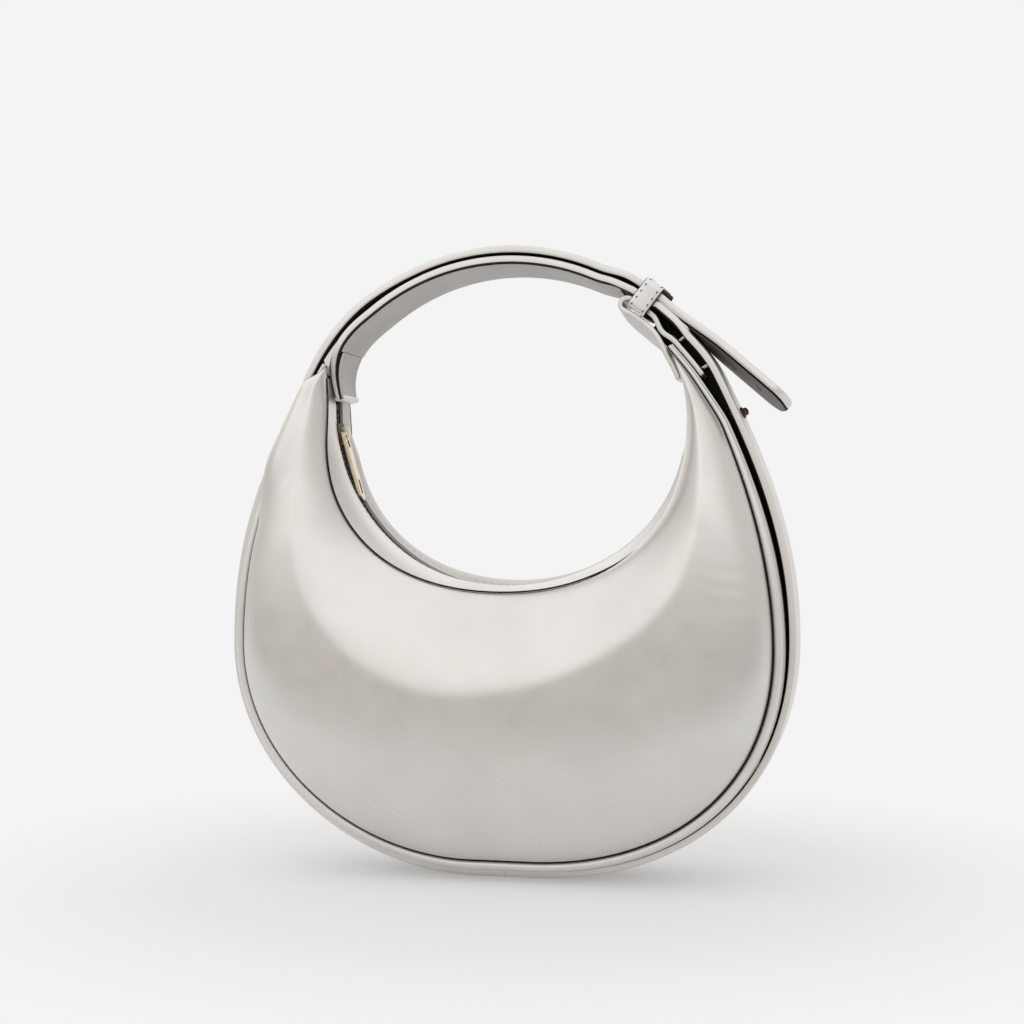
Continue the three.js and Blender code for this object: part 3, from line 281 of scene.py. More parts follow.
def gusset_inset(f):
    fade = smooth(from_tip(f), LOOP_TAIL_LENGTH, LOOP_TAIL_LENGTH + HORN_RECESS_FADE)
    return STRAP_SEAT + np.where(np.asarray(f) < 0.5, 0.0, HORN_RECESS * (1 - fade) + tip_sink(from_tip(f)))


def piping_radius(f):
    return lerp(PIPING_TIP_RADIUS, PIPING_RADIUS, taper(f))


def piping_inset(f):
    return gusset_inset(f) + PIPING_STANDOFF + piping_radius(f)


def seam_inset(f):
    return piping_inset(f) + piping_radius(f) + CLEAR


def seam_depth(f):
    return lerp(HORN_HALF_DEPTH, SEAM_HALF_DEPTH, taper(f))


def inner_seam(f):
    f = np.asarray(f, float)
    share = np.abs(2 * f - 1)
    left, right = (half.at(share * half.length) for half in (left_opening, right_opening))
    return np.where((f < 0.5)[..., None], left, right)


def outer_seam(f):
    return rim(rim_of(f), seam_inset(f))


MID_WIDTH = float(np.linalg.norm(inner_seam(0.5) - outer_seam(0.5)))


def pillow(f, v):
    """Swell of a panel at shares f along it and v across it: 0 at both seams, 1 at the crest."""
    crest = lerp(LEFT_CREST, RIGHT_CREST, smooth(f, *CREST_SHIFT))[:, None]
    v = v[None, :]
    upper = np.clip(1 - v / crest, 0, 1)
    lower = np.clip((v - crest) / (1 - crest), 0, 1)
    rise = (1 - upper ** UPPER_ROUND) ** (1 / UPPER_ROUND)
    fall = (1 - lower ** LOWER_ROUND) ** (1 / LOWER_ROUND)
    return np.where(v < crest, rise, fall)


def at(points, y):
    """(x, z) points and their y as (x, y, z)."""
    y = np.broadcast_to(y, points.shape[:-1])
    return np.stack([points[..., 0], y, points[..., 1]], -1)


# Mesh making. A shape is points, faces and a zone, or index of material, per face
def loft(rings, closed=False, caps="fan", zones=None, cap_zone=0):
    """Shape of a closed body from rings of points."""
    n, m, _ = rings.shape
    idx = np.arange(n * m).reshape(n, m)
    rows = np.arange(n if closed else n - 1)
    low, high = idx[rows], idx[(rows + 1) % n]
    quads = np.stack([low, np.roll(low, -1, 1), np.roll(high, -1, 1), high], -1).reshape(-1, 4)
    points = rings.reshape(-1, 3)
    a, b, c, d = (points[quads[:, k]] for k in range(4))
    volume = (a * np.cross(b, c)).sum() + (a * np.cross(c, d)).sum()
    faces = quads.tolist()
    marks = list(np.tile(np.zeros(m, int) if zones is None else zones, len(rows)))
    if not closed:
        last = (n - 1) * m
        if caps == "pair":
            for j in range(m // 2 - 1):
                faces.append([j, m - 1 - j, m - 2 - j, j + 1])
                faces.append([last + j, last + j + 1, last + m - 2 - j, last + m - 1 - j])
        else:
            faces.append(list(range(m))[::-1])
            faces.append([last + j for j in range(m)])
        marks += [cap_zone] * (len(faces) - len(marks))
    if volume < 0:
        faces = [f[::-1] for f in faces]
    return points, faces, marks


def joined(shapes):
    """One shape of a single material from several."""
    points, faces, start = [], [], 0
    for some_points, some_faces, _ in shapes:
        points.append(some_points)
        faces += [[start + k for k in face] for face in some_faces]
        start += len(some_points)
    return np.concatenate(points), faces, [0] * len(faces)


def shade_smooth(mesh, sharp):
    mesh.polygons.foreach_set("use_smooth", [True] * len(mesh.polygons))
    mesh.set_sharp_from_angle(angle=math.radians(sharp))
    mesh.update()


def linked(name, shape, scale, mats):
    """A new object of the scene from a shape."""
    points, faces, marks = shape
    mesh = bpy.data.meshes.new(name)
    mesh.from_pydata((np.asarray(points, float) * scale).tolist(), [], faces)
    for mat in mats if isinstance(mats, list) else [mats]:
        mesh.materials.append(mat)
    mesh.polygons.foreach_set("material_index", [int(k) for k in marks])
    obj = bpy.data.objects.new(name, mesh)
    scene.collection.objects.link(obj)
    return obj


def piece(name, mats, shape, stands_for=None, sharp=50, body="bag"):
    obj = linked(name, shape, MM, mats)
    shade_smooth(obj.data, sharp)
    if body:
        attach(obj, body)
    if stands_for:
        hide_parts(stands_for)
    return obj


def strap_section(half, thick, corner, crown=0.12, across=7, arc=4, painted_shade_rise=0.0):
    """(offset, y) points round a strap's section and a zone per edge: 0 top, 1 edge, 2 underside."""
    flat = np.linspace(-(half - corner), half - corner, across)
    t = thick / 2
    edge_top = t - corner - crown
    bend = np.linspace(0, math.pi / 2, arc + 1)[1:-1]
    top = np.stack([t - crown * (flat / half) ** 2, flat], 1)
    rounding = np.stack([edge_top + corner * np.cos(bend), half - corner + corner * np.sin(bend)], 1)
    upper = np.concatenate([top, rounding, [(edge_top, half), (-edge_top, half)], rounding[::-1] * [-1, 1]])
    points = np.concatenate([upper, -upper])
    middle = (points + np.roll(points, -1, 0)) / 2
    # Edge faces near the underside, up to the last argument's height, take the underside's zone, which the
    # belt paints black as shade
    edge = (np.abs(middle[:, 1]) > half - 0.8 * corner) & (middle[:, 0] > painted_shade_rise - t)
    return points, np.where(edge, 1, np.where(middle[:, 0] > 0, 0, 2))


def sweep(path, normals, section, twist=None, widths=None, skive=None, ends=(0.0, 0.0), middle=0.0):
    """Rings of a section carried along a path, with rounded ends of given radii."""
    n = len(path)
    along = unit(np.gradient(path, axis=0))
    twist = np.zeros(n) if twist is None else twist
    widths = np.ones(n) if widths is None else widths
    skive = np.ones(n) if skive is None else skive
    thick, half = np.abs(section).max(0)

    def ring(i, shift=0.0, shrink=0.0):
        off = (section[:, 0] * (thick - shrink) / thick + thick) * skive[i] - thick
        y = section[:, 1] * (half * widths[i] - shrink) / half
        c, s = math.cos(twist[i]), math.sin(twist[i])
        out = middle + off * c - y * s
        return at(path[i] + along[i] * shift + normals[i] * out[:, None], off * s + y * c)

    def rounded(i, radius, inwards):
        steps = np.radians([90, 67, 45, 22]) if radius else []
        return [ring(i, inwards * radius * (1 - math.sin(b)), radius * (1 - math.cos(b))) for b in steps]

    run = run_of(path)
    inside = np.flatnonzero((run >= ends[0]) & (run <= run[-1] - ends[1]))
    return np.array(rounded(0, ends[0], 1) + [ring(i) for i in inside] + rounded(n - 1, ends[1], -1)[::-1])


def strap_piece(name, mats, rings, zones=None, stands_for=None, turn_row=None, turned=0):
    """A strap from its rings; after a row its top, zone 0, takes another zone."""
    points, faces, marks = loft(rings, zones=zones, cap_zone=0 if zones is None else 1)
    if turn_row:
        after = np.arange(len(marks)) // rings.shape[1] > turn_row
        marks = np.where(after & (np.array(marks) == 0), turned, marks)
    piece(name, mats, (points, faces, marks), stands_for, sharp=40)


def cord(name, mat, centres, normals, radii, sides, stands_for=None):
    """A round cord along (x, y, z) points that run in a plane of constant Y."""
    a = circle(sides)
    radii = np.broadcast_to(radii, len(centres))[:, None]
    out = normals[:, None, :] * (radii * np.cos(a))[..., None]
    rings = centres[:, None, :] + np.stack([out[..., 0], radii * np.sin(a), out[..., 1]], -1)
    piece(name, mat, loft(rings), stands_for)


def lathe_piece(name, slot, mat, profile, origin, axis, stands_for):
    """A turned piece: (radius, height) profile from bottom to top about an axis."""
    u = unit(np.cross(axis, (0.0, 1.0, 0.0)))
    a = circle(40)[:, None]
    around = np.cos(a) * u + np.sin(a) * np.cross(axis, u)
    rings = [origin + axis * height + radius * around for radius, height in profile]
    piece(name, mat, loft(np.array(rings)), stands_for, sharp=35)


def stitches(name, mat, points, normals, length, gap, radius, body="bag"):
    """A run of sewn thread: one small lens of thread for each stitch."""
    run, along = run_of(points), np.gradient(points, axis=0)
    a, rows = circle(8)[:, None], np.linspace(-1, 1, 7)[:, None]
    size = radius * np.sqrt(np.maximum(STITCH_END, 1 - np.abs(rows) ** STITCH_FULLNESS))
    lift = STITCH_RISE * radius * (1 - rows ** 2) - STITCH_SINK
    shapes = []
    for s in np.arange(gap, run[-1] - length, length + gap) + length / 2:
        p, t, n = ([np.interp(s, run, data[:, k]) for k in range(3)] for data in (points, along, normals))
        t = unit(np.array(t))
        n = unit(n - t * np.dot(n, t))
        centres = p + t * rows * length / 2 + n * lift
        around = np.cos(a) * n + np.sin(a) * np.cross(t, n)
        shapes.append(loft(centres[:, None] + size[..., None] * around))
    piece(name, mat, joined(shapes), sharp=80, body=body)


# Materials
def shader(name, color, roughness, metallic=0.0):
    mat = bpy.data.materials.new(name)
    mat.use_nodes = True
    tree = mat.node_tree
    bsdf = tree.nodes["Principled BSDF"]
    bsdf.inputs["Base Color"].default_value = (*color, 1)
    bsdf.inputs["Roughness"].default_value = roughness
    bsdf.inputs["Metallic"].default_value = metallic
    return mat, tree, bsdf


def node(tree, kind, settings=(), **inputs):
    """A shader node; an input is named, or numbered as i0, i1 and so on."""
    made = tree.nodes.new(kind)
    for key, value in dict(settings).items():
        setattr(made, key, value)
    for key, value in inputs.items():
        numbered = key[0] == "i" and key[1:].isdigit()
        socket = made.inputs[int(key[1:]) if numbered else key.replace("_", " ")]
        if isinstance(value, bpy.types.NodeSocket):
            tree.links.new(value, socket)
        else:
            socket.default_value = value
    return made


def here(tree):
    return node(tree, "ShaderNodeTexCoord").outputs["Object"]


def stretched(tree, scale, rotation=(0, 0, 0)):
    made = node(tree, "ShaderNodeMapping", Vector=here(tree), Scale=scale, Rotation=rotation)
    return made.outputs["Vector"]


def noise(tree, scale, detail=3.0, rough=0.55, vector=None):
    vector = here(tree) if vector is None else vector
    made = node(tree, "ShaderNodeTexNoise", Vector=vector, Scale=scale, Detail=detail, Roughness=rough)
    return made.outputs["Fac"]


def wave(tree, direction, **inputs):
    made = node(tree, "ShaderNodeTexWave", {"bands_direction": direction}, Vector=here(tree), **inputs)
    return made.outputs["Fac"]


def ramp(tree, value, *stops):
    made = node(tree, "ShaderNodeValToRGB", Fac=value)
    marks = made.color_ramp.elements
    while len(marks) < len(stops):
        marks.new(0.5)
    for mark, (place, color) in zip(marks, stops):
        mark.position = place
        mark.color = (*color, 1)
    return made.outputs["Color"]


def spread(tree, value, low, high, from_low=0.3, from_high=0.7):
    return node(tree, "ShaderNodeMapRange", i0=value, i1=from_low, i2=from_high, i3=low, i4=high).outputs[0]


def maths(tree, operation, a, b):
    return node(tree, "ShaderNodeMath", {"operation": operation}, i0=a, i1=b).outputs[0]


def measure(tree, operation, *vectors):
    inputs = {f"i{k}": vector for k, vector in enumerate(vectors)}
    return node(tree, "ShaderNodeVectorMath", {"operation": operation}, **inputs).outputs["Value"]


def mixed(tree, share, first, second):
    return node(tree, "ShaderNodeMixRGB", Fac=share, Color1=first, Color2=(*second, 1)).outputs["Color"]


def bump(tree, bsdf, height, strength, distance):
    made = node(tree, "ShaderNodeBump", Height=height, Strength=strength, Distance=distance)
    tree.links.new(made.outputs["Normal"], bsdf.inputs["Normal"])


# Metres: where painted shade darkens the rim leather to the right, and middle and reach of the wrinkles by
# the right arm
PAINTED_SHADE_FROM_TO, WRINKLES_AT, WRINKLES_FROM_TO = (0.045, 0.068), (0.098, -0.024, 0.104), (0.008, 0.042)


def leather(name, pale, deep, roughness, metallic, grain=0.035, wrinkles=False, painted_shade=None):
    """Leather with a fine pebble, slow blotches and a varying sheen; the last argument is a darker tone
    painted towards the right as shade.
    """
    mat, tree, bsdf = shader(name, pale, roughness, metallic)
    warm = np.array(pale) * (1.0, 0.985, 0.985)
    cool = lerp(np.array(deep), np.array(pale), 0.6) * (0.99, 1.0, 0.98)
    tone = ramp(tree, noise(tree, 26.0, 3.0, 0.5), (0.30, deep), (0.46, cool), (0.58, warm), (0.75, pale))
    if painted_shade:
        # Painted shade: the base colour is mixed towards a darker tone across the given span of x
        right = measure(tree, "DOT_PRODUCT", here(tree), (1.0, 0.0, 0.0))
        tone = mixed(tree, spread(tree, right, 0.0, 1.0, *PAINTED_SHADE_FROM_TO), tone, painted_shade)
    tree.links.new(tone, bsdf.inputs["Base Color"])
    rough = spread(tree, noise(tree, 90.0, 4.0), roughness - 0.04, roughness + 0.05)
    tree.links.new(rough, bsdf.inputs["Roughness"])
    height = noise(tree, 420.0, 2.0, 0.5)
    if wrinkles:
        lines = noise(tree, 420.0, 5.0, 0.6, stretched(tree, (0.30, 1.0, 1.0), (0, 0.35, 0)))
        mask = spread(tree, measure(tree, "DISTANCE", here(tree), WRINKLES_AT), 3.2, 0.0, *WRINKLES_FROM_TO)
        height = maths(tree, "ADD", height, maths(tree, "MULTIPLY", lines, mask))
    bump(tree, bsdf, height, grain, 0.0002)
    return mat


STRAP_LOOK = ((0.75, 0.733, 0.718), (0.69, 0.674, 0.66), 0.36, 0.62)
silver = leather("silver_leather", (0.72, 0.704, 0.683), (0.672, 0.655, 0.64), 0.30, 0.80, wrinkles=True)
silver_strap = leather("silver_strap_leather", *STRAP_LOOK)
# Front zip strip: painted shade darkens it towards the right horn
silver_rim_painted_shade = leather("silver_rim_leather_painted_shade", *STRAP_LOOK, painted_shade=(0.50, 0.485, 0.47))
# A darker, duller copy of the silver leather: painted shade, on the back zip strip and on the arm loop's
# lower leg
silver_painted_shade = leather("silver_leather_painted_shade", (0.60, 0.578, 0.57), (0.52, 0.50, 0.494), 0.42, 0.5)
grey = leather("grey_underside_leather", (0.52, 0.505, 0.49), (0.44, 0.428, 0.418), 0.55, 0.10, grain=0.2)
# Much darker than the handle's underside: painted shade on the underside of the tail
tail_grey_painted_shade = leather("grey_tail_leather_painted_shade", (0.20, 0.192, 0.186), (0.15, 0.144, 0.14), 0.6, 0.05, grain=0.2)
# Near black: the keeper's dark thread, and painted shade on faces in the gaps between straps, gusset, loop
# and keeper
dark = leather("dark_thread_and_painted_gap_shade", (0.022, 0.021, 0.021), (0.012, 0.012, 0.012), 0.75, 0.0, grain=0.3)
edge_paint = leather("black_edge_paint", (0.007, 0.007, 0.007), (0.004, 0.004, 0.004), 0.7, 0.0)
edge_paint.node_tree.nodes["Principled BSDF"].inputs["Specular IOR Level"].default_value = 0.15


def cloth(name, light, deep, threads):
    """Woven cloth: two sets of threads crossing, with uneven yarn."""
    mat, tree, bsdf = shader(name, light, 0.85)
    yarns = {"Scale": threads, "Distortion": 0.6, "Detail": 1.0, "Detail_Scale": 2.0}
    weave = maths(tree, "MAXIMUM", *(wave(tree, axis, **yarns) for axis in ("X", "Z")))
    yarn = maths(tree, "MULTIPLY", weave, noise(tree, 300.0, 2.0))
    tree.links.new(ramp(tree, yarn, (0.15, deep), (0.6, light)), bsdf.inputs["Base Color"])
    bsdf.inputs["Sheen Weight"].default_value = 0.25
    bump(tree, bsdf, weave, 0.35, 0.0002)
    return mat


lining_cloth = cloth("lining_cloth", (0.34, 0.32, 0.30), (0.24, 0.225, 0.21), 320.0)
zip_webbing = cloth("zip_webbing", (0.020, 0.015, 0.012), (0.010, 0.008, 0.006), 420.0)


def metal(name, pale, deep, roughness):
    """Plated metal with fine rubbing marks and a little tarnish."""
    mat, tree, bsdf = shader(name, pale, roughness, 1.0)
    tarnish = noise(tree, 240.0, 4.0, 0.6)
    tree.links.new(ramp(tree, tarnish, (0.28, deep), (0.55, pale)), bsdf.inputs["Base Color"])
    marks = noise(tree, 900.0, 4.0, 0.7, stretched(tree, (1.0, 6.0, 1.0)))
    tree.links.new(spread(tree, marks, roughness - 0.06, roughness + 0.12), bsdf.inputs["Roughness"])
    bump(tree, bsdf, marks, 0.05, 0.0001)
    return mat


gold = metal("pale_gold_plate", (0.82, 0.73, 0.56), (0.66, 0.56, 0.39), 0.24)
silver_plate = metal("silver_plate", (0.80, 0.80, 0.81), (0.60, 0.60, 0.62), 0.25)
bronze = metal("dark_bronze_teeth", (0.10, 0.072, 0.05), (0.05, 0.035, 0.025), 0.42)


def stuff(name, color, roughness, pattern_of, low, high, strength, distance):
    """A dull stuff whose tone and relief follow one pattern."""
    mat, tree, bsdf = shader(name, color, roughness)
    pattern = pattern_of(tree)
    tree.links.new(ramp(tree, pattern, low, high), bsdf.inputs["Base Color"])
    bump(tree, bsdf, pattern, strength, distance)
    return mat


def ply(tree):
    return wave(tree, "DIAGONAL", Scale=700.0, Distortion=1.0)


def pores(tree):
    return node(tree, "ShaderNodeTexVoronoi", Vector=here(tree), Scale=900.0).outputs["Distance"]


def strands(tree):
    return noise(tree, 800.0, 6.0, 0.7, stretched(tree, (0.2, 1.0, 1.0)))


thread_mat = stuff("sewing_thread", (0.58, 0.56, 0.55), 0.7, ply,
                   (0.2, (0.46, 0.445, 0.43)), (0.7, (0.62, 0.60, 0.585)), 0.4, 0.0002)
foam_mat = stuff("padding_foam", (0.80, 0.77, 0.70), 0.95, pores,
                 (0.1, (0.62, 0.59, 0.52)), (0.5, (0.82, 0.79, 0.72)), 0.6, 0.0004)
board_mat = stuff("stiffener_fibreboard", (0.34, 0.29, 0.24), 0.9, strands,
                  (0.3, (0.26, 0.22, 0.18)), (0.7, (0.40, 0.35, 0.29)), 0.3, 0.0003)

# Panels: puffed shells of leather over padding
SIDES = (("front", -1.0), ("back", 1.0))
# Relief: heights of slow dents, finer ones and pulls, with place and reach of the pulls in x and z
DENTS, FINE_DENTS, PULLS, PULLS_AT, PULLS_REACH = 0.22, 0.12, 0.05, (98.0, 106.0), (15.0, 28.0)


def across(count):
    return (1 - np.cos(np.linspace(0, math.pi, count))) / 2


def slab(rings, zones=None):
    return loft(rings, caps="pair", zones=zones)


def left_lap(f):
    """Share of the lap of a panel's edge over the belt beside the left horn."""
    return np.where(f < 0.5, between(from_tip(f), *LAP_SPAN), 0.0)


def lap_rise(f):
    return left_lap(f) * (2 * piping_radius(f) + CLEAR)


def soft_relief(flat, side):
    """Slow dents and swells of hand-filled padding, and on the front a few pulls beside the right arm."""
    x, z = flat[..., 0], flat[..., 1]
    dents = DENTS * np.sin(x / 23 + 0.9 * side) * np.sin(z / 31 + 1.3)
    dents = dents + FINE_DENTS * np.sin(x / 11 - z / 14 + 2.1 * side)
    if side > 0:
        return dents
    near = np.exp(-(((flat - PULLS_AT) / PULLS_REACH) ** 2).sum(-1))
    lines = np.sin((z + 0.28 * x) / 1.1 + 1.4 * np.sin(x / 6)) * (0.5 + 0.5 * np.sin(z / 7.3 + x / 9))
    return dents + PULLS * near * lines


def panel_rows(f, v, depth, side, relief=False):
    """Points of a panel at a depth below its face, at shares f along it and v across it."""
    _, rim_out, _ = rim_frame(rim_of(f))
    outer = outer_seam(f) + rim_out * (LAP * left_lap(f))[:, None]
    rise = np.where(f < 0.5, LEFT_TIP_RUN, RIGHT_TIP_RUN) * (1 - smooth(from_tip(f), 0, TIP_RUN_LENGTH))
    inner = inner_seam(f) + np.stack([0 * f, rise], -1)
    width = np.linalg.norm(outer - inner, axis=1)[:, None]
    share = lerp(depth, width - depth, v) / width
    flat = inner[:, None] + (outer - inner)[:, None] * share[..., None]
    puff = pillow(f, v)
    swell = (PANEL_BULGE * np.sqrt(width / MID_WIDTH) - depth) * puff
    if relief:
        swell = swell + soft_relief(flat, side) * puff ** 2
    over = lap_rise(f)[:, None] * smooth(v, *LAP_ACROSS)
    return at(flat, side * (seam_depth(f)[:, None] + CLEAR + swell + over))


def layer(f, v, depth, thick, side, relief=False):
    outside = panel_rows(f, v, depth, side, relief)
    inside = panel_rows(f, v, depth + thick, side)
    return slab(np.concatenate([outside, inside[:, ::-1]], 1))


def shares_beyond(length):
    """Shares of the crescent that lie at least a length from both tips."""
    low, high = length - LEFT_HORN, RIM_HORN - length
    run = np.linspace(low, high, int((high - low) / PADDED_STEP) + 1)
    return 0.5 + run / np.where(run < 0, LEFT_HORN, RIM_HORN) / 2


FOAM_DEPTH = PANEL_THICK + CLEAR
LINING_DEPTH = FOAM_DEPTH + FOAM_THICK + CLEAR
POCKET_DEPTH = LINING_DEPTH + LINING_THICK + POCKET_SLACK
CLOTH_THICK = LINING_THICK - 2 * SPARE
body_f = np.linspace(0, 1, 321)
padded_f = shares_beyond(PADDING_FROM_TIP + END_SPARE)
for word, side in SIDES:
    shell = layer(body_f, across(72), 0, PANEL_THICK, side, relief=True)
    piece(f"{word}_shell", silver, shell, f"{word}_panel")
    pad = layer(padded_f, across(30), FOAM_DEPTH + SPARE, FOAM_THICK - 2 * SPARE, side)
    piece(f"{word}_padding", foam_mat, pad, f"{word}_foam")
    lining = layer(padded_f, across(30), LINING_DEPTH + SPARE, CLOTH_THICK, side)
    sheet = piece(f"{word}_cloth", lining_cloth, lining, f"{word}_lining")
pocket_v = lerp(POCKET_DROP / MID_WIDTH, 1 - POCKET_FLOOR / MID_WIDTH, across(24))
pocket = layer(np.linspace(*POCKET_SPAN, 25), pocket_v, POCKET_DEPTH + SPARE, CLOTH_THICK, 1.0)
pocket = piece("pocket_cloth", lining_cloth, pocket, "slip_pocket")


# Gusset, its lining, the piping and the dark seam lines beside it
def body_band(f, inset, thick, half, cover):
    """Rings of a band that lies along the belt at an inset, thick inwards, with rows at +-cover."""
    _, normal, _ = rim_frame(rim_of(f))
    path = rim(rim_of(f), inset + thick / 2)
    half = half[:, None]
    covered = np.minimum(cover, half - BAND_MARGIN)
    middle = (half + covered) / 2
    y = np.concatenate([-half, -middle, covered * [-1, -0.5, 0, 0.5, 1], middle, half], 1)
    out = np.repeat([thick / 2, -thick / 2], 9)[:, None]
    return at(path[:, None] + normal[:, None] * out, np.concatenate([y, y[:, ::-1]], 1))


gusset_half = seam_depth(body_f) - piping_radius(body_f) - CLEAR
# Rows of the gusset under the belt take the black material: painted shade in the gap beside the belt
under_belt = np.isin(np.arange(18), (2, 3, 4, 5)).astype(int)
belt_cover = STRAP_WIDTH / 2 - UNDER_BELT_MARGIN
band = body_band(body_f, gusset_inset(body_f), GUSSET_THICK, gusset_half, belt_cover)
piece("gusset_band", [silver, dark], slab(band, under_belt), "outer_gusset")
lining_inset = seam_inset(padded_f) + LINING_DEPTH + SPARE
band = body_band(padded_f, lining_inset, CLOTH_THICK, seam_depth(padded_f) - CLEAR, STRAP_WIDTH / 2)
gusset_cloth = piece("gusset_cloth", lining_cloth, slab(band), "gusset_lining")

_, rim_normal, _ = rim_frame(rim_of(body_f))
bead = SEAM_BEAD * lerp(SEAM_BEAD_AT_TIP, 1.0, taper(body_f))
hidden = np.where(body_f < 0.5, between(from_tip(body_f), *SEAM_HIDDEN_SPAN), 0.0)
outer_bead = bead * (1 - SEAM_HIDDEN * hidden)
outer_line = rim(rim_of(body_f), seam_inset(body_f) - SEAM_LINE_OUT - LAP * left_lap(body_f))
outer_depth = seam_depth(body_f) + SEAM_LINE_DEPTH * taper(body_f) + SEAM_LINE_OUT + lap_rise(body_f)
inner_line = inner_seam(body_f)
into_opening = -outward(unit(np.gradient(inner_line, axis=0)))
piping_line, piping = rim(rim_of(body_f), piping_inset(body_f)), piping_radius(body_f)
for word, side in SIDES:
    centres = at(piping_line, side * seam_depth(body_f))
    cord(f"{word}_cord_edge", silver_strap, centres, rim_normal, piping, 18,
         f"{word}_piping")
    centres = at(outer_line, side * outer_depth)
    cord(f"{word}_outer_seam_line", edge_paint, centres, rim_normal, outer_bead, 10)
    proud = lerp(INNER_SEAM_PROUD, INNER_SEAM_SUNK, smooth(body_f, *INNER_SEAM_FADE))
    proud = np.where(side < 0, proud, INNER_SEAM_BACK)[:, None]
    centres = at(inner_line + into_opening * proud, side * (seam_depth(body_f) + INNER_SEAM_DEPTH))
    cord(f"{word}_inner_seam_line", edge_paint, centres, into_opening, bead, 10)

# Zip gusset, polar about the zip's centre
ZIP_RADIUS = OPENING_HALF_WIDTH + ZIP_OUTSET
ZIP_CENTRE = np.array([0.0, OPENING_FLOOR + ZIP_RADIUS - ZIP_FLOOR_SINK])
TAB_BOTTOM = left_foot[1] - END_OVERLAP
ZIP_END = math.acos((ZIP_CENTRE[1] - TAB_BOTTOM + ZIP_END_BELOW_TAB) / ZIP_RADIUS)
ZIP_CLOSED_FROM = ZIP_END + ZIP_CLOSING_AFTER / ZIP_RADIUS
ZIP_CLOSED_FULL = ZIP_CLOSED_FROM + ZIP_CLOSING_LENGTH / ZIP_RADIUS
ZIP_AT_TAB = ZIP_END + ZIP_END_BELOW_TAB / ZIP_RADIUS
HUMP_FULL = ZIP_END - ZIP_HUMP_FADE / ZIP_RADIUS
TAPE_DEPTH = ZIP_STRIP_THICK + ZIP_TAPE_GAP
ZIP_STRIP_RADIUS = ZIP_RADIUS - ZIP_TAPE_THICK / 2 - TAPE_DEPTH
FACING_DEPTH = TAPE_DEPTH + ZIP_TAPE_THICK + ZIP_FACING_GAP
TAPE_INNER = CHAIN_HALF_WIDTH + CLEAR


def zip_point(angle, radius):
    return np.stack([radius * np.sin(angle), ZIP_CENTRE[1] - radius * np.cos(angle)], -1)


def zip_up(angle):
    return np.stack([-np.sin(angle), np.cos(angle)], 1)


def zip_edges(f):
    seam = inner_seam(f)
    angle = np.arctan2(seam[:, 0], ZIP_CENTRE[1] - seam[:, 1])
    edge = lerp(ZIP_STRIP_EDGE, CLEAR, smooth(np.abs(angle), ZIP_CLOSED_FROM, ZIP_CLOSED_FULL))
    return seam, angle, edge


def zip_rows(f, y, depth, side):
    """Points of a layer of the zip gusset at half depths y, from its seam inwards."""
    seam, angle, edge = zip_edges(f)
    reach = np.linalg.norm(seam - ZIP_CENTRE, axis=1)
    hump = FRONT_HUMP * (1 - smooth(angle, *FRONT_HUMP_FADE)) if side < 0 else ZIP_STRIP_HUMP
    hump = hump * (1 - smooth(np.abs(angle), HUMP_FULL, ZIP_END))
    edge_radius = lerp(ZIP_STRIP_RADIUS, reach, smooth(np.abs(angle), ZIP_END, ZIP_AT_TAB))
    depths = seam_depth(f)
    v = np.minimum((depths[:, None] - y) / (depths - edge)[:, None], 1)
    radius = lerp(reach[:, None], edge_radius[:, None], v) - hump[:, None] * np.sin(math.pi * v)
    return at(zip_point(angle[:, None], radius + depth), side * y)


def zip_layer(f, y, depth, thick, side):
    inside, outside = zip_rows(f, y, depth, side), zip_rows(f, y, depth + thick, side)
    return slab(np.concatenate([inside, outside[:, ::-1]], 1))


_, _, body_edge = zip_edges(body_f)
strip_y = lerp(seam_depth(body_f)[:, None], body_edge[:, None], across(26))
tape_inner = lerp(CLEAR / 2, TAPE_INNER, (body_edge - CLEAR) / (ZIP_STRIP_EDGE - CLEAR))
tape_y = lerp((seam_depth(body_f) + body_edge)[:, None] / 2, tape_inner[:, None], np.linspace(0, 1, 10))
facing_f = shares_beyond(ZIP_FACING_FROM_TIP + END_SPARE)
facing_edge = zip_edges(facing_f)[2] + ZIP_FACING_EDGE - ZIP_STRIP_EDGE
facing_y = lerp(seam_depth(facing_f)[:, None], facing_edge[:, None], across(14))
sewn_f = np.linspace(*ZIP_SEWN_SPAN, 260)
_, sewn_angle, sewn_edge = zip_edges(sewn_f)
for word, side in SIDES:
    strip = zip_layer(body_f, strip_y, 0, ZIP_STRIP_THICK, side)
    # The back strip takes the darker copy of the silver leather: painted shade
    strip_mat = silver_rim_painted_shade if side < 0 else silver_painted_shade
    piece(f"zip_strip_{word}", strip_mat, strip, f"zip_gusset_{word}")
    tape = zip_layer(body_f, tape_y, TAPE_DEPTH, ZIP_TAPE_THICK, side)
    piece(f"zip_webbing_{word}", zip_webbing, tape, f"zip_tape_{word}")
    facing = zip_layer(facing_f, facing_y, FACING_DEPTH, LINING_THICK, side)
    facing = piece(f"zip_facing_{word}", lining_cloth, facing, f"zip_lining_{word}")
    line = zip_rows(sewn_f, (sewn_edge + ZIP_STITCH_MARGIN)[:, None], 0, side)[:, 0]
    up = at(zip_up(sewn_angle), 0.0)
    stitches(f"zip_stitches_{word}", thread_mat, line, up, length=2.4, gap=0.9, radius=0.14)

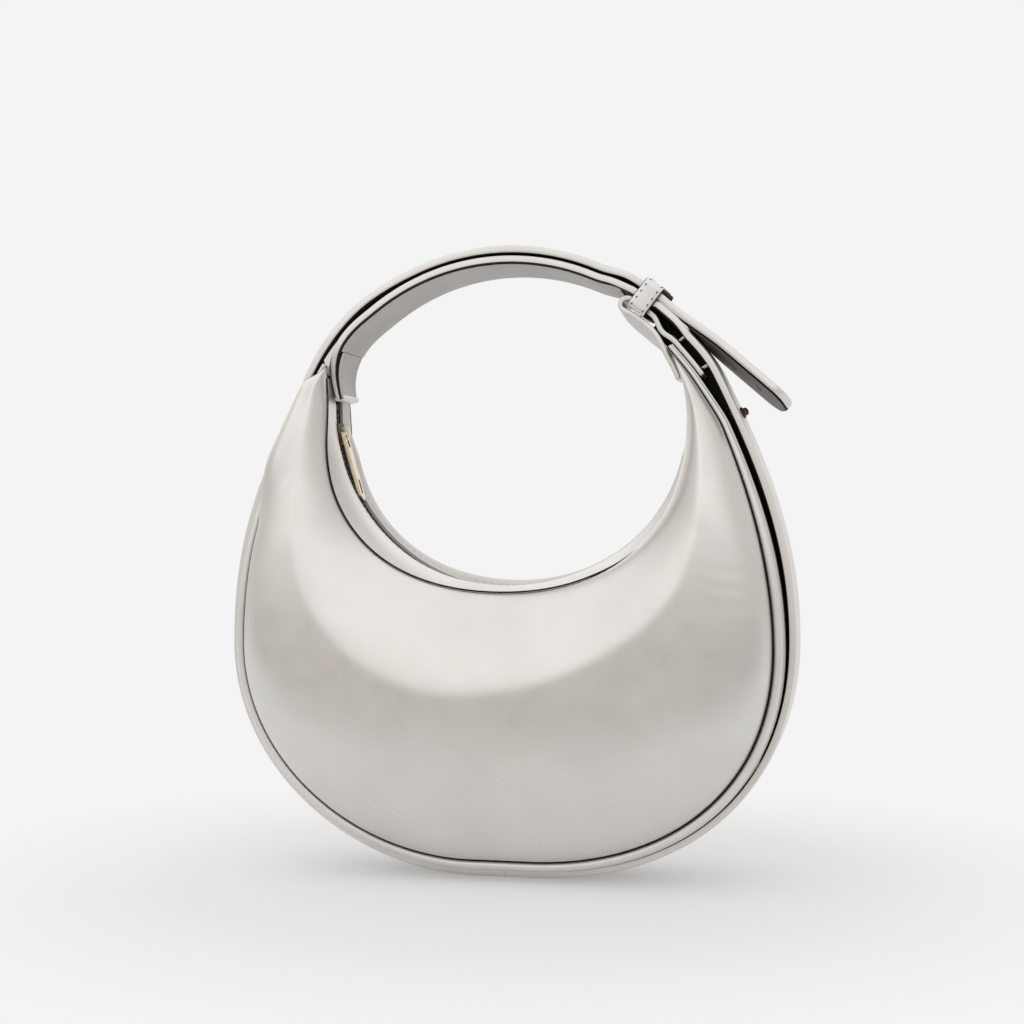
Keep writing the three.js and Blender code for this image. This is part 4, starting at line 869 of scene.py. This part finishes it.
# Zip chain: each row a cord with separate scoops. A scoop: half its outline, and height and share of each row
SCOOP_HALF = [(-0.55, 2.55), (-0.62, 1.4), (-0.72, 0.75), (-0.35, 0.28)]
SCOOP_ROWS = [(-0.95, 0.82), (-0.7, 1.0), (0.7, 1.0), (0.95, 0.82)]
SCOOP_MIDDLE = 1.4
scoop_x, scoop_y = np.array(SCOOP_HALF + [(-x, y) for x, y in SCOOP_HALF[::-1]]).T
scoop_height, scoop_share = np.array(SCOOP_ROWS).T[..., None]


def scoop(angle, side):
    points = zip_point(angle + scoop_x * scoop_share / ZIP_RADIUS, ZIP_RADIUS - scoop_height)
    return loft(at(points, side * lerp(SCOOP_MIDDLE, scoop_y, scoop_share)))


count = int(2 * ZIP_END * ZIP_RADIUS / TOOTH_PITCH)
cord_angle = np.linspace(-ZIP_END, ZIP_END, 160)
for (word, side), offset in zip(SIDES, (0.0, TOOTH_OFFSET)):
    angles = lerp(-ZIP_END, ZIP_END, (np.arange(count) + 0.5 + offset) / (count + 0.5))
    scoops = joined([scoop(angle, side) for angle in angles])
    piece(f"zip_scoops_{word}", bronze, scoops, f"zip_teeth_{word}", sharp=30)
    centres = at(zip_point(cord_angle, ZIP_RADIUS), side * ZIP_CORD_Y)
    cord(f"zip_cord_{word}", zip_webbing, centres, zip_up(cord_angle), ZIP_CORD_RADIUS, 10)

# Belt
STRAP_MID, STRAP_HALF = STRAP_THICK / 2, STRAP_WIDTH / 2
RIM_KEEPER = RIM_HORN + KEEPER_ABOVE_HORN
TAIL_ROOT = RIM_KEEPER - KEEPER_LENGTH / 2 - STRAP_THICK
LIFT_FULL = RIM_KEEPER + KEEPER_LENGTH / 2 + KEEPER_GAP
HANDLE_INSET = STRAP_THICK + STRAP_LAYER_GAP + STRAP_MID
KEEPER_EXIT = RIM_KEEPER - KEEPER_LENGTH / 2 - KEEPER_GAP - KEEPER_TRAVEL
RIM_LEAVE = RIM_WHOLE - LEFT_HORN - STRAP_BEND_LENGTH


def keeper_lift(s):
    return KEEPER_LIFT * (1 - smooth(s, LIFT_FULL, LIFT_FULL + KEEPER_LIFT_LENGTH))


def inner_inset(s):
    slack = BELT_SLACK * smooth(s, RIM_BELLY - SLACK_BELOW_BELLY, RIM_BELLY + SLACK_ABOVE_BELLY)
    in_handle = smooth(s, RIM_HORN - SLACK_TO_BELOW_HORN, KEEPER_EXIT)
    return lerp(STRAP_MID - slack, HANDLE_INSET - keeper_lift(s), in_handle)


def handle_twist(s):
    """Turn of the straps about their run, front edge outwards, over the crown of the handle."""
    full, gone = LIFT_FULL + HANDLE_TWIST_IN, RIM_LEAVE + HANDLE_TWIST_OUT
    return HANDLE_TWIST * between(s, LIFT_FULL, full, RIM_LEAVE, gone)


def outer_twist(s):
    """Turn of the outer strap: that of the handle, and more where it leaves the inner strap."""
    return handle_twist(s) + LEFT_TWIST * between(s - RIM_LEAVE, *LEFT_TWIST_SPAN)


def inner_twist(s):
    """Turn of the inner strap: that of the handle, and its own between the right horn and the keeper."""
    by_horn = smooth(s - RIM_HORN, *BELT_TWIST_IN) * (1 - smooth(s - KEEPER_EXIT, *BELT_TWIST_OUT))
    return handle_twist(s) + BELT_TWIST * by_horn


belt_section, belt_zones = strap_section(STRAP_HALF, STRAP_THICK, corner=0.6, painted_shade_rise=0.5)
_, outer_zones = strap_section(STRAP_HALF, STRAP_THICK, corner=0.6)
# Underside zone black: painted shade in the gaps between the straps and against the gusset
belt_mats = [silver_strap, silver_strap, dark]
s = np.append(np.arange(RIM_KEEPER + KEEPER_GAP, RIM_WHOLE - 1, STRAP_STEP), RIM_WHOLE - BELT_JOINT)
path, normal = Line(rim(s, STRAP_MID - keeper_lift(s))).spaced(STRAP_STEP)
twist = outer_twist(np.linspace(s[0], s[-1], len(path)))
rings = sweep(path, normal, belt_section, twist=twist, ends=(0.0, 0.05))
strap_piece("belt_outer", belt_mats, rings, outer_zones, "outer_strap")

strap_seat = left_foot + [CLEAR + STRAP_MID, 0]
leave_point, leave_along = rim(RIM_LEAVE, HANDLE_INSET), rim_frame(RIM_LEAVE)[2]
strap_bend = Line(cubic(leave_point, leave_point + leave_along * STRAP_BEND_START,
                        strap_seat + [0, STRAP_BEND_REACH], strap_seat))
strap_tip = strap_seat + [END_SWEEP, -END_OVERLAP]
strap_end = quadratic(strap_seat, strap_seat - [0, END_OVERLAP / 2], strap_tip, 30)
s = np.arange(BELT_JOINT, RIM_LEAVE, RIM_STEP)
inner_path = Line(rim(s, inner_inset(s)), strap_bend.points, strap_end)
path, normal = inner_path.spaced(STRAP_STEP)
s = np.linspace(0, inner_path.length, len(path))
to_end = smooth(s, inner_path.length - END_TAPER_LENGTH, inner_path.length)
rings = sweep(path, normal, belt_section, twist=inner_twist(s), widths=lerp(1, END_NARROW, to_end),
              skive=lerp(1, END_SKIVE, to_end), ends=(0.05, 0.7))
handle_row = (RIM_HORN + HANDLE_FROM_HORN) / STRAP_STEP
# Past the handle's start, the inner strap's top, facing the outer strap, is painted black as shade
strap_piece("belt_inner", belt_mats, rings, belt_zones, "inner_strap", handle_row, 2)

# Underside of the handle and the sewn tab at its left end
LINING_FROM = LIFT_FULL + LOOP_EYE / 2 + 2 * LOOP_THICK
tab_from = strap_bend.length - TAB_LENGTH + END_OVERLAP
lining_top, lining_half = -STRAP_MID - CLEAR, STRAP_HALF - STRAP_LINING_MARGIN
under_half, under_thick = lining_half + UNDERSIDE_WIDER, STRAP_LINING_THICK + UNDERSIDE_THICKER
s = np.arange(LINING_FROM, RIM_LEAVE, RIM_STEP)
under_path = Line(rim(s, inner_inset(s)), strap_bend.at(np.linspace(0, tab_from - TAB_LINING_GAP, 40)))
section, zones = strap_section(under_half, under_thick, corner=0.3, crown=0.0)
path, normal = under_path.spaced(STRAP_STEP)
twist = handle_twist(np.linspace(LINING_FROM, LINING_FROM + under_path.length, len(path)))
rings = sweep(path, normal, section, twist=twist, middle=lining_top - STRAP_LINING_THICK / 2)
zones = np.where((zones == 1) & (section[:, 1] > 0), 3, zones)
strap_piece("handle_underside", [grey, grey, grey, edge_paint], rings, zones, "handle_lining")
tab_path = Line(strap_bend.at(np.linspace(tab_from, strap_bend.length, 30)), strap_end)
section, _ = strap_section(lining_half + TAB_WIDER, TAB_THICK, corner=0.5, crown=0.0)
path, normal = tab_path.spaced(1.0)
narrow = lerp(END_NARROW, 1, smooth(np.linspace(tab_path.length, 0, len(path)), 0, END_TAPER_LENGTH))
rings = sweep(path, normal, section, widths=narrow, ends=(0.4, 0.5), middle=lining_top - TAB_THICK / 2)
strap_piece("end_tab", grey, rings, stands_for="strap_end_tab")

# Binding folded round the end of strap and tab: points as (outwards, down) from the tab's end
end_out = normal[-1]
end_down = np.array([-end_out[1], end_out[0]])
fold_out, fold_low = STRAP_THICK * END_SKIVE - STRAP_MID + BINDING / 2, BINDING / 2
fold_in = lining_top - TAB_THICK - BINDING / 2
bend = np.linspace(0, math.pi / 2, 8)
near, away = BINDING_ROUND * (1 - np.cos(bend)), BINDING_ROUND * (1 - np.sin(bend))
fold = np.concatenate([[(fold_out, -BINDING_OUTSIDE)], np.stack([fold_out - near, fold_low - away], 1),
                       np.stack([fold_in + away, fold_low - near], 1), [(fold_in, -BINDING_INSIDE)]])
lip_path, lip_normal = Line(path[-1] + end_out * fold[:, :1] + end_down * fold[:, 1:]).spaced(0.4)
lip_section, _ = strap_section(STRAP_HALF * END_NARROW + BINDING_WIDER, BINDING, corner=0.18, crown=0.0)
rings = sweep(lip_path, lip_normal, lip_section, ends=(0.15, 0.15))
strap_piece("end_tab_lip", silver_strap, rings)
for word, side in SIDES:
    line = at(path + normal * (lining_top - TAB_THICK), side * narrow * (lining_half - TAB_STITCH_MARGIN))
    stitches(f"tab_stitches_{word}", thread_mat, line, at(-normal, 0.0), length=1.9, gap=0.9, radius=0.22)

# Arm loop
LOOP_MID = LOOP_THICK / 2
LOOP_UPPER = HANDLE_INSET - KEEPER_LIFT + STRAP_MID + KEEPER_GAP + LOOP_MID
LOOP_LOWER = LOOP_UPPER + LOOP_THICK + LOOP_EYE
LOOP_SEAT = STRAP_SEAT + LOOP_MID
RIM_TURN = LIFT_FULL


def loop_inset(s):
    free = np.clip((s - RIM_HORN) / (KEEPER_EXIT - RIM_HORN), 0, 1)
    seat = LOOP_SEAT + tip_sink(np.maximum(RIM_HORN - s, 0))
    return lerp(seat, LOOP_UPPER, smooth(free, 0, 1)) + LOOP_SAG * np.sin(math.pi * free) ** 2


s = np.arange(RIM_HORN - LOOP_TAIL_LENGTH, RIM_TURN, 1.0)
_, turn_normal, turn_along = rim_frame(RIM_TURN)
turn_centre = rim(RIM_TURN, (LOOP_UPPER + LOOP_LOWER) / 2)
a = np.linspace(0, math.pi, 40)[:, None]
turn_path = turn_centre + (LOOP_LOWER - LOOP_UPPER) / 2 * (np.cos(a) * turn_normal + np.sin(a) * turn_along)
seat_run = right_opening.length - np.linspace(0, END_OVERLAP, 20)
beside_horn = right_opening.at(seat_run) - outward(right_opening.along(seat_run)) * (CLEAR + LOOP_MID)
above_horn = beside_horn[0] + right_opening.along(right_opening.length) * LOOP_HORN_BEND
below_turn = turn_path[-1] - turn_along * LOOP_INNER_BEND
loop_return = cubic(turn_path[-1], below_turn, above_horn, beside_horn[0], 120)
loop_path = Line(rim(s, loop_inset(s)), turn_path, loop_return, beside_horn)
section, zones = strap_section((STRAP_WIDTH - LOOP_NARROWER) / 2, LOOP_THICK, corner=0.6, crown=0.05)
path, normal = loop_path.spaced(0.8)
s = np.linspace(0, loop_path.length, len(path))
lower_from = RIM_TURN - RIM_HORN + LOOP_TAIL_LENGTH
leave, gone = loop_path.length - np.array(LOOP_TWIST_OUT)
twist = -LOOP_TWIST * between(s, lower_from, lower_from + LOOP_TWIST_IN, leave, gone)
rings = sweep(path, normal, section, twist=twist, ends=(0.4, 0.4))
lower_row = np.searchsorted(s, lower_from)
# The loop's top, facing the belt's underside, is painted black as shade; past the turn it takes the darker
# silver copy, painted shade on the lower leg
loop_mats = [dark, silver_strap, silver_strap, silver_painted_shade]
strap_piece("loop_band", loop_mats, rings, zones, "arm_loop", lower_row, 3)


# Sheets in the gaps behind the straps' front edges: black ones that paint the shade there, and a silver wedge
def gap_sheet(name, mat, upper, lower, front, back):
    corners = ((upper, front), (upper, back), (lower, back), (lower, front))
    piece(name, mat, slab(np.stack([at(line, y) for line, y in corners], 1)))


s = np.arange(RIM_BELLY - WEB_BELOW_BELLY, KEEPER_EXIT - WEB_FROM_KEEPER, RIM_STEP)
f = np.minimum(0.5 + s / RIM_HORN / 2, 1.0)
web_low = np.where(s < RIM_HORN - LOOP_TAIL_LENGTH, gusset_inset(f), loop_inset(s) - LOOP_MID) - WEB_GAP
web_top = np.minimum(inner_inset(s) + STRAP_MID + WEB_GAP, web_low - WEB_LEAST)
gap_sheet("belt_gap_painted_shade", dark, rim(s, web_top), rim(s, web_low), WEB_FRONT, WEB_BACK)
s = RIM_HORN + np.linspace(*LOOP_WEB_SPAN, 16)
web_top = loop_inset(s) + LOOP_MID + WEB_GAP
web_low = np.maximum(web_top + SPARE, LOOP_LOWER - LOOP_MID - SPARE)
gap_sheet("loop_gap_painted_shade", dark, rim(s, web_top), rim(s, web_low), WEB_FRONT, WEB_BACK)
share = np.linspace(*WEDGE_SPAN, 24)
run = share * strap_bend.length
wedge_low = strap_bend.at(run) + outward(strap_bend.along(run)) * (STRAP_MID + WEB_GAP)
wedge_top = rim(RIM_LEAVE + STRAP_BEND_LENGTH * share, STRAP_THICK + WEB_GAP)
wedge_half = STRAP_HALF - WEDGE_MARGIN
gap_sheet("left_horn_wedge", silver_strap, wedge_top, wedge_low, -wedge_half, wedge_half)

# Keeper: a closed band of leather with a stitched edge
keeper_point, keeper_normal, keeper_along = rim_frame(RIM_KEEPER)
keep_margin = KEEPER_GAP + KEEPER_WALL / 2
keep_top, keep_low = KEEPER_LIFT + keep_margin, -(LOOP_UPPER + LOOP_MID + keep_margin)
keep_half = STRAP_HALF + keep_margin


def keeper_loop(step=0.8):
    """(offset, y) points round the middle of the band's wall, and their outward directions."""
    high, low, side = keep_top - KEEPER_ROUND, keep_low + KEEPER_ROUND, keep_half - KEEPER_ROUND
    corners = np.array([(high, side), (low, side), (low, -side), (high, -side)])
    points, normals = [], []
    for k, corner in enumerate(corners):
        a = math.pi / 2 * (k + np.linspace(0, 1, 7))
        facing = np.stack([np.cos(a), np.sin(a)], 1)
        arc = corner + KEEPER_ROUND * facing
        goal = corners[(k + 1) % 4] + KEEPER_ROUND * facing[-1]
        share = np.linspace(0, 1, max(3, int(np.linalg.norm(goal - arc[-1]) / step)))[1:-1, None]
        points += [arc, lerp(arc[-1], goal, share)]
        normals += [facing, facing[-1] + 0 * share]
    return np.concatenate(points), np.concatenate(normals)


def keeper_at(points, along):
    """(offset, y) points of the keeper's section as (x, y, z), moved along the straps."""
    flat = keeper_point + points[..., :1] * keeper_normal + np.asarray(along)[..., None] * keeper_along
    return at(flat, points[..., 1])


band_points, band_normals = keeper_loop()
section, zones = strap_section(KEEPER_LENGTH / 2, KEEPER_WALL, corner=0.55, crown=0.15)
rings = keeper_at(band_points[:, None] + band_normals[:, None] * section[:, :1], section[:, 1])
# The band's inner face, against the straps, is painted black as shade
keeper_mats = [silver_strap, edge_paint, dark]
shape = loft(rings, closed=True, zones=zones)
piece("keeper_band", keeper_mats, shape, "keeper", sharp=40, body="keeper")
skin = band_points + band_normals * (KEEPER_WALL / 2)
up = keeper_at(band_normals, 0.0) - at(keeper_point, 0.0)
aside = KEEPER_LENGTH / 2 - KEEPER_STITCH_MARGIN
for word, shift in (("upper", aside), ("lower", -aside)):
    line = keeper_at(skin, shift)
    stitches(f"keeper_stitches_{word}", dark, line, up, length=1.2, gap=1.9, radius=0.22, body="keeper")

# Tail: cut flat with its holes, then laid along the keeper's exit and twisted a little
_, tail_normal, tail_along = rim_frame(TAIL_ROOT)
tail_down = tail_normal * math.sin(TAIL_LIFT) - tail_along * math.cos(TAIL_LIFT)
tail_root = rim(TAIL_ROOT, STRAP_MID - KEEPER_LIFT) + tail_down * CLEAR
TAIL_BACK = RIM_KEEPER - TAIL_ROOT
in_keeper = rim(np.linspace(RIM_KEEPER, TAIL_ROOT, 12), STRAP_MID - KEEPER_LIFT)
tail_line = Line(in_keeper, tail_root + tail_down * np.linspace(2 * CLEAR, TAIL_LENGTH, 60)[:, None])


def tail_width(x, length, half):
    """Half width of the tail at x: straight, then rounded to its tip."""
    outline = cubic((length - TAIL_TIP_ROUND, half), (length - TAIL_TIP_ROUND / 3, half),
                    (length, half / 2), (length, 0), 60)
    return np.interp(x, outline[:, 0], outline[:, 1])


def punch_hole(obj, x):
    a = circle(24)
    ring = np.stack([x + TAIL_HOLE_RADIUS * np.cos(a), TAIL_HOLE_RADIUS * np.sin(a), 0 * a], 1)
    reach = np.array([0, 0, PUNCH_REACH])
    punch = linked("punch", loft(np.stack([ring - reach, ring + reach])), MM, dark)
    cut = obj.modifiers.new("hole", "BOOLEAN")
    cut.operation, cut.object, cut.solver = "DIFFERENCE", punch, "EXACT"
    bpy.context.view_layer.update()
    done = bpy.data.meshes.new_from_object(obj.evaluated_get(bpy.context.evaluated_depsgraph_get()))
    obj.modifiers.clear()
    obj.data = done
    bpy.data.objects.remove(punch)


def tail_piece(name, mats, start, margin, thick, middle, stands_for, corner):
    """Flat strap end along x with punched holes, then bent on to its line."""
    length, half = TAIL_LENGTH - margin, STRAP_HALF - margin
    tip = length - TAIL_TIP_ROUND * (1 - np.sin(np.linspace(0, math.pi / 2, 22)))
    straight = np.arange(start, length - TAIL_TIP_ROUND, TAIL_STEP)
    x = np.concatenate([straight, tip[:-1], [length - TAIL_TIP_SPARE]])[:, None]
    section, zones = strap_section(half, thick, corner=corner, crown=0.0, across=13)
    widths = np.maximum(tail_width(x, length, half), TAIL_LEAST) / half
    beyond = np.maximum(0, x - length + corner) / corner
    thinned = 0.5 + 0.5 * np.sqrt(np.maximum(0, 1 - beyond ** 2))
    rings = np.stack([x + 0 * section[:, 0], section[:, 1] * widths, middle + section[:, 0] * thinned], -1)
    obj = piece(name, mats, loft(rings, zones=zones, cap_zone=1), sharp=40, body=None)
    for k in range(TAIL_HOLE_COUNT):
        punch_hole(obj, TAIL_LENGTH - TAIL_HOLE_FROM_TIP - k * TAIL_HOLE_PITCH)
    mesh = obj.data
    flat = np.empty(len(mesh.vertices) * 3)
    mesh.vertices.foreach_get("co", flat)
    x, y, z = (flat.reshape(-1, 3) / MM).T
    run = x + TAIL_BACK
    twist = TAIL_TWIST * smooth(x, 0.0, TAIL_TWIST_LENGTH)
    off = z * np.cos(twist) - y * np.sin(twist)
    laid = tail_line.at(run) - outward(tail_line.along(run)) * off[:, None]
    laid = at(laid, z * np.sin(twist) + y * np.cos(twist))
    mesh.vertices.foreach_set("co", (laid * MM).ravel())
    shade_smooth(mesh, 40)
    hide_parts(stands_for)
    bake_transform(obj)


tail_piece("belt_tail", belt_mats, -TAIL_BACK, 0.0, STRAP_THICK, 0.0, "strap_tail", 1.0)
tail_piece("tail_underside", [tail_grey_painted_shade, edge_paint, tail_grey_painted_shade], TAIL_LINING_FROM,
           TAIL_LINING_MARGIN, STRAP_LINING_THICK, -STRAP_MID - STRAP_LINING_THICK / 2 - SPARE,
           "strap_tail_lining", 0.25)


# Stud, its screw and the rivets: profiles as (radius, height above the belt's face)
def belt_face(s):
    _, normal, _ = rim_frame(s)
    face = rim(s, inner_inset(s) - STRAP_MID)
    return at(face, 0.0), np.array([normal[0], 0.0, normal[1]])


stud_at, stud_axis = belt_face(RIM_HORN - STUD_BELOW_HORN)
stud_profile = [(1.2, -3.2), (1.2, 0.05), (2.2, 0.08), (2.4, 0.3), (2.4, 0.6), (2.2, 0.85), (1.7, 1.0),
                (1.6, 1.3), (1.65, 1.7), (1.5, 2.1), (1.1, 2.45), (0.5, 2.65)]
screw_profile = [(2.3, -4.2), (2.7, -4.1), (2.8, -3.9), (2.8, -3.6), (2.6, -3.5)]
rivet_head = [(1.0, -0.75), (2.0, -0.7), (2.2, -0.5), (2.2, -0.15), (1.9, 0.02), (1.2, 0.12), (0.4, 0.16)]
lathe_piece("belt_stud", "gold_metal", bronze, stud_profile, stud_at, stud_axis, "stud")
lathe_piece("belt_stud_screw", "gold_metal", gold, screw_profile, stud_at, stud_axis, "stud_screw")
for name, above in RIVETS.items():
    s = RIM_HORN + above
    reach = float(loop_inset(s) - inner_inset(s) + STRAP_MID + LOOP_MID)
    profile = [(rivet_head[0][0], -reach)] + rivet_head
    lathe_piece(f"{name}_post", "silver_metal", silver_plate, profile, *belt_face(s), name)

# Rigid nodes kept from the frame: softened edges and real finishes
KEPT = {"zip_slider": (gold, 0.25), "zip_pull": (gold, 0.35), "zip_end_stop": (bronze, 0.3),
        "zip_top_stop_front": (bronze, 0.3), "zip_top_stop_back": (bronze, 0.3),
        "base_stiffener": (board_mat, 0.3)}
for name, (mat, width) in KEPT.items():
    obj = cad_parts[name]
    obj.data.materials.clear()
    obj.data.materials.append(mat)
    soft = obj.modifiers.new("soft_edges", "BEVEL")
    soft.width, soft.segments, soft.limit_method, soft.angle_limit = width * MM, 3, "ANGLE", math.radians(35)

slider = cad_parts["zip_slider"]
slider.data.materials.append(bronze)
for polygon in slider.data.polygons:
    spot = slider.matrix_world @ polygon.center
    in_bail = math.hypot(spot.x / MM, spot.z / MM - ZIP_CENTRE[1]) < ZIP_RADIUS - SLIDER_BODY
    polygon.material_index = 0 if in_bail else 1

# Floor and world, in metres. To the camera the floor fades to the backdrop away from the bag
BACKDROP, FLOOR_TONE, FLOOR_HALF, FLOOR_DROP = (0.905, 0.905, 0.905), (0.73, 0.73, 0.73), 4.0, 0.0002
GLOW_NEAR, GLOW_FROM_TO = 0.3, (0.14, 0.258)


def flat_card(half, front, back):
    return [(-half, front, 0), (half, front, 0), (half, back, 0), (-half, back, 0)], [(0, 1, 2, 3)], [0]


mat, tree, bsdf = shader("pale_floor", FLOOR_TONE, 0.9)
bsdf.inputs["Specular IOR Level"].default_value = 0.0
glow = node(tree, "ShaderNodeEmission", Color=(*BACKDROP, 1), Strength=1.0)
far = spread(tree, measure(tree, "LENGTH", here(tree)), GLOW_NEAR, 1.0, *GLOW_FROM_TO)
rays = node(tree, "ShaderNodeLightPath").outputs
seen = maths(tree, "MAXIMUM", rays["Is Camera Ray"], rays["Is Transmission Ray"])
seen = maths(tree, "MAXIMUM", seen, rays["Is Glossy Ray"])
glowing = maths(tree, "MULTIPLY", far, seen)
mix = node(tree, "ShaderNodeMixShader", i0=glowing, i1=bsdf.outputs[0], i2=glow.outputs[0])
tree.links.new(mix.outputs[0], tree.nodes["Material Output"].inputs["Surface"])
floor = linked("floor", flat_card(FLOOR_HALF, -FLOOR_HALF, FLOOR_HALF), 1.0, mat)
floor.location.z = -FLOOR_DROP

world = bpy.data.worlds.new("studio")
scene.world = world
world.use_nodes = True
world.node_tree.nodes["Background"].inputs["Color"].default_value = (*BACKDROP, 1)

# Studio cards that the camera doesn't see: a light tent, dim at the horizon and the sides, and a grey cloth
# on the floor before the bag
ROOM_DIM, SIDE_DIM, CLOTH_NEAR = (0.54, 0.50, 0.472), (0.70, 0.675, 0.65), (0.62, 0.59, 0.56)
TENT_LOW, TENT_BRIGHT, TENT_TOP = (0.86, 0.84, 0.82), (1.27, 1.26, 1.25), (1.17, 1.16, 1.15)
TENT_RADIUS, CLOTH_HALF, CLOTH_FROM, CLOTH_FADED = 2.6, 2.4, 0.26, 0.45


def studio_card(name, shape, color_of):
    mat, tree, _ = shader(name, (0, 0, 0), 1.0)
    light = node(tree, "ShaderNodeEmission", Color=color_of(tree), Strength=1.0)
    tree.links.new(light.outputs[0], tree.nodes["Material Output"].inputs["Surface"])
    obj = linked(name, shape, 1.0, mat)
    obj.visible_camera = obj.visible_shadow = obj.visible_transmission = False


def part_of(tree, axis):
    heading = node(tree, "ShaderNodeVectorMath", {"operation": "NORMALIZE"}, i0=here(tree))
    return measure(tree, "DOT_PRODUCT", heading.outputs[0], axis)


def tent_color(tree):
    height, aside = part_of(tree, (0.0, 0.0, 1.0)), part_of(tree, (1.0, 0.0, 0.0))
    card = ramp(tree, height, (0.02, ROOM_DIM), (0.13, TENT_LOW), (0.27, TENT_BRIGHT), (0.7, TENT_TOP))
    right, left = spread(tree, aside, 0.0, 0.9, 0.35, 0.75), spread(tree, aside, 1.0, 0.0, -0.95, -0.65)
    card = mixed(tree, maths(tree, "MAXIMUM", right, left), card, SIDE_DIM)
    behind = spread(tree, part_of(tree, (0.0, 1.0, 0.0)), 0.0, 1.0, 0.80, 0.95)
    return mixed(tree, behind, card, BACKDROP)


def cloth_color(tree):
    before = measure(tree, "DOT_PRODUCT", here(tree), (0.0, -1.0, 0.0))
    return ramp(tree, before, (CLOTH_FROM, CLOTH_NEAR), (CLOTH_FADED, ROOM_DIM))


up, a = np.linspace(-0.03, math.pi / 2 - 0.01, 24)[:, None], circle(48)
tent = TENT_RADIUS * np.stack([np.cos(up) * np.cos(a), np.cos(up) * np.sin(a), np.sin(up) + 0 * a], -1)
studio_card("light_tent", loft(tent), tent_color)
studio_card("front_cloth", flat_card(CLOTH_HALF, -CLOTH_HALF, -CLOTH_FROM), cloth_color)

# Lamp and camera
LAMP_PLACE, LAMP_AIM = Vector((-0.25, -0.35, 1.3)), Vector((0, 0, 0.12))
EYE_PLACE, AZIMUTH = (0.1623, -0.7322, 0.1467), math.radians(12.5)


def aimed(name, data, place, heading):
    obj = bpy.data.objects.new(name, data)
    obj.location = place
    obj.rotation_mode = "QUATERNION"
    obj.rotation_quaternion = heading.to_track_quat("-Z", "Y")
    scene.collection.objects.link(obj)
    return obj


lamp = bpy.data.lights.new("overhead_softbox", "AREA")
lamp.shape, lamp.size, lamp.energy = "DISK", 1.2, 1.6
aimed("overhead_softbox", lamp, LAMP_PLACE, LAMP_AIM - LAMP_PLACE).visible_glossy = False

camera = bpy.data.cameras.new("photo_camera")
camera.sensor_width, camera.lens = 36.0, 64.47
camera.clip_start, camera.clip_end = 0.01, 50
scene.camera = aimed("photo_camera", camera, EYE_PLACE, Vector((-math.sin(AZIMUTH), math.cos(AZIMUTH), 0)))
scene.view_settings.view_transform = "Standard"

bpy.context.view_layer.update()
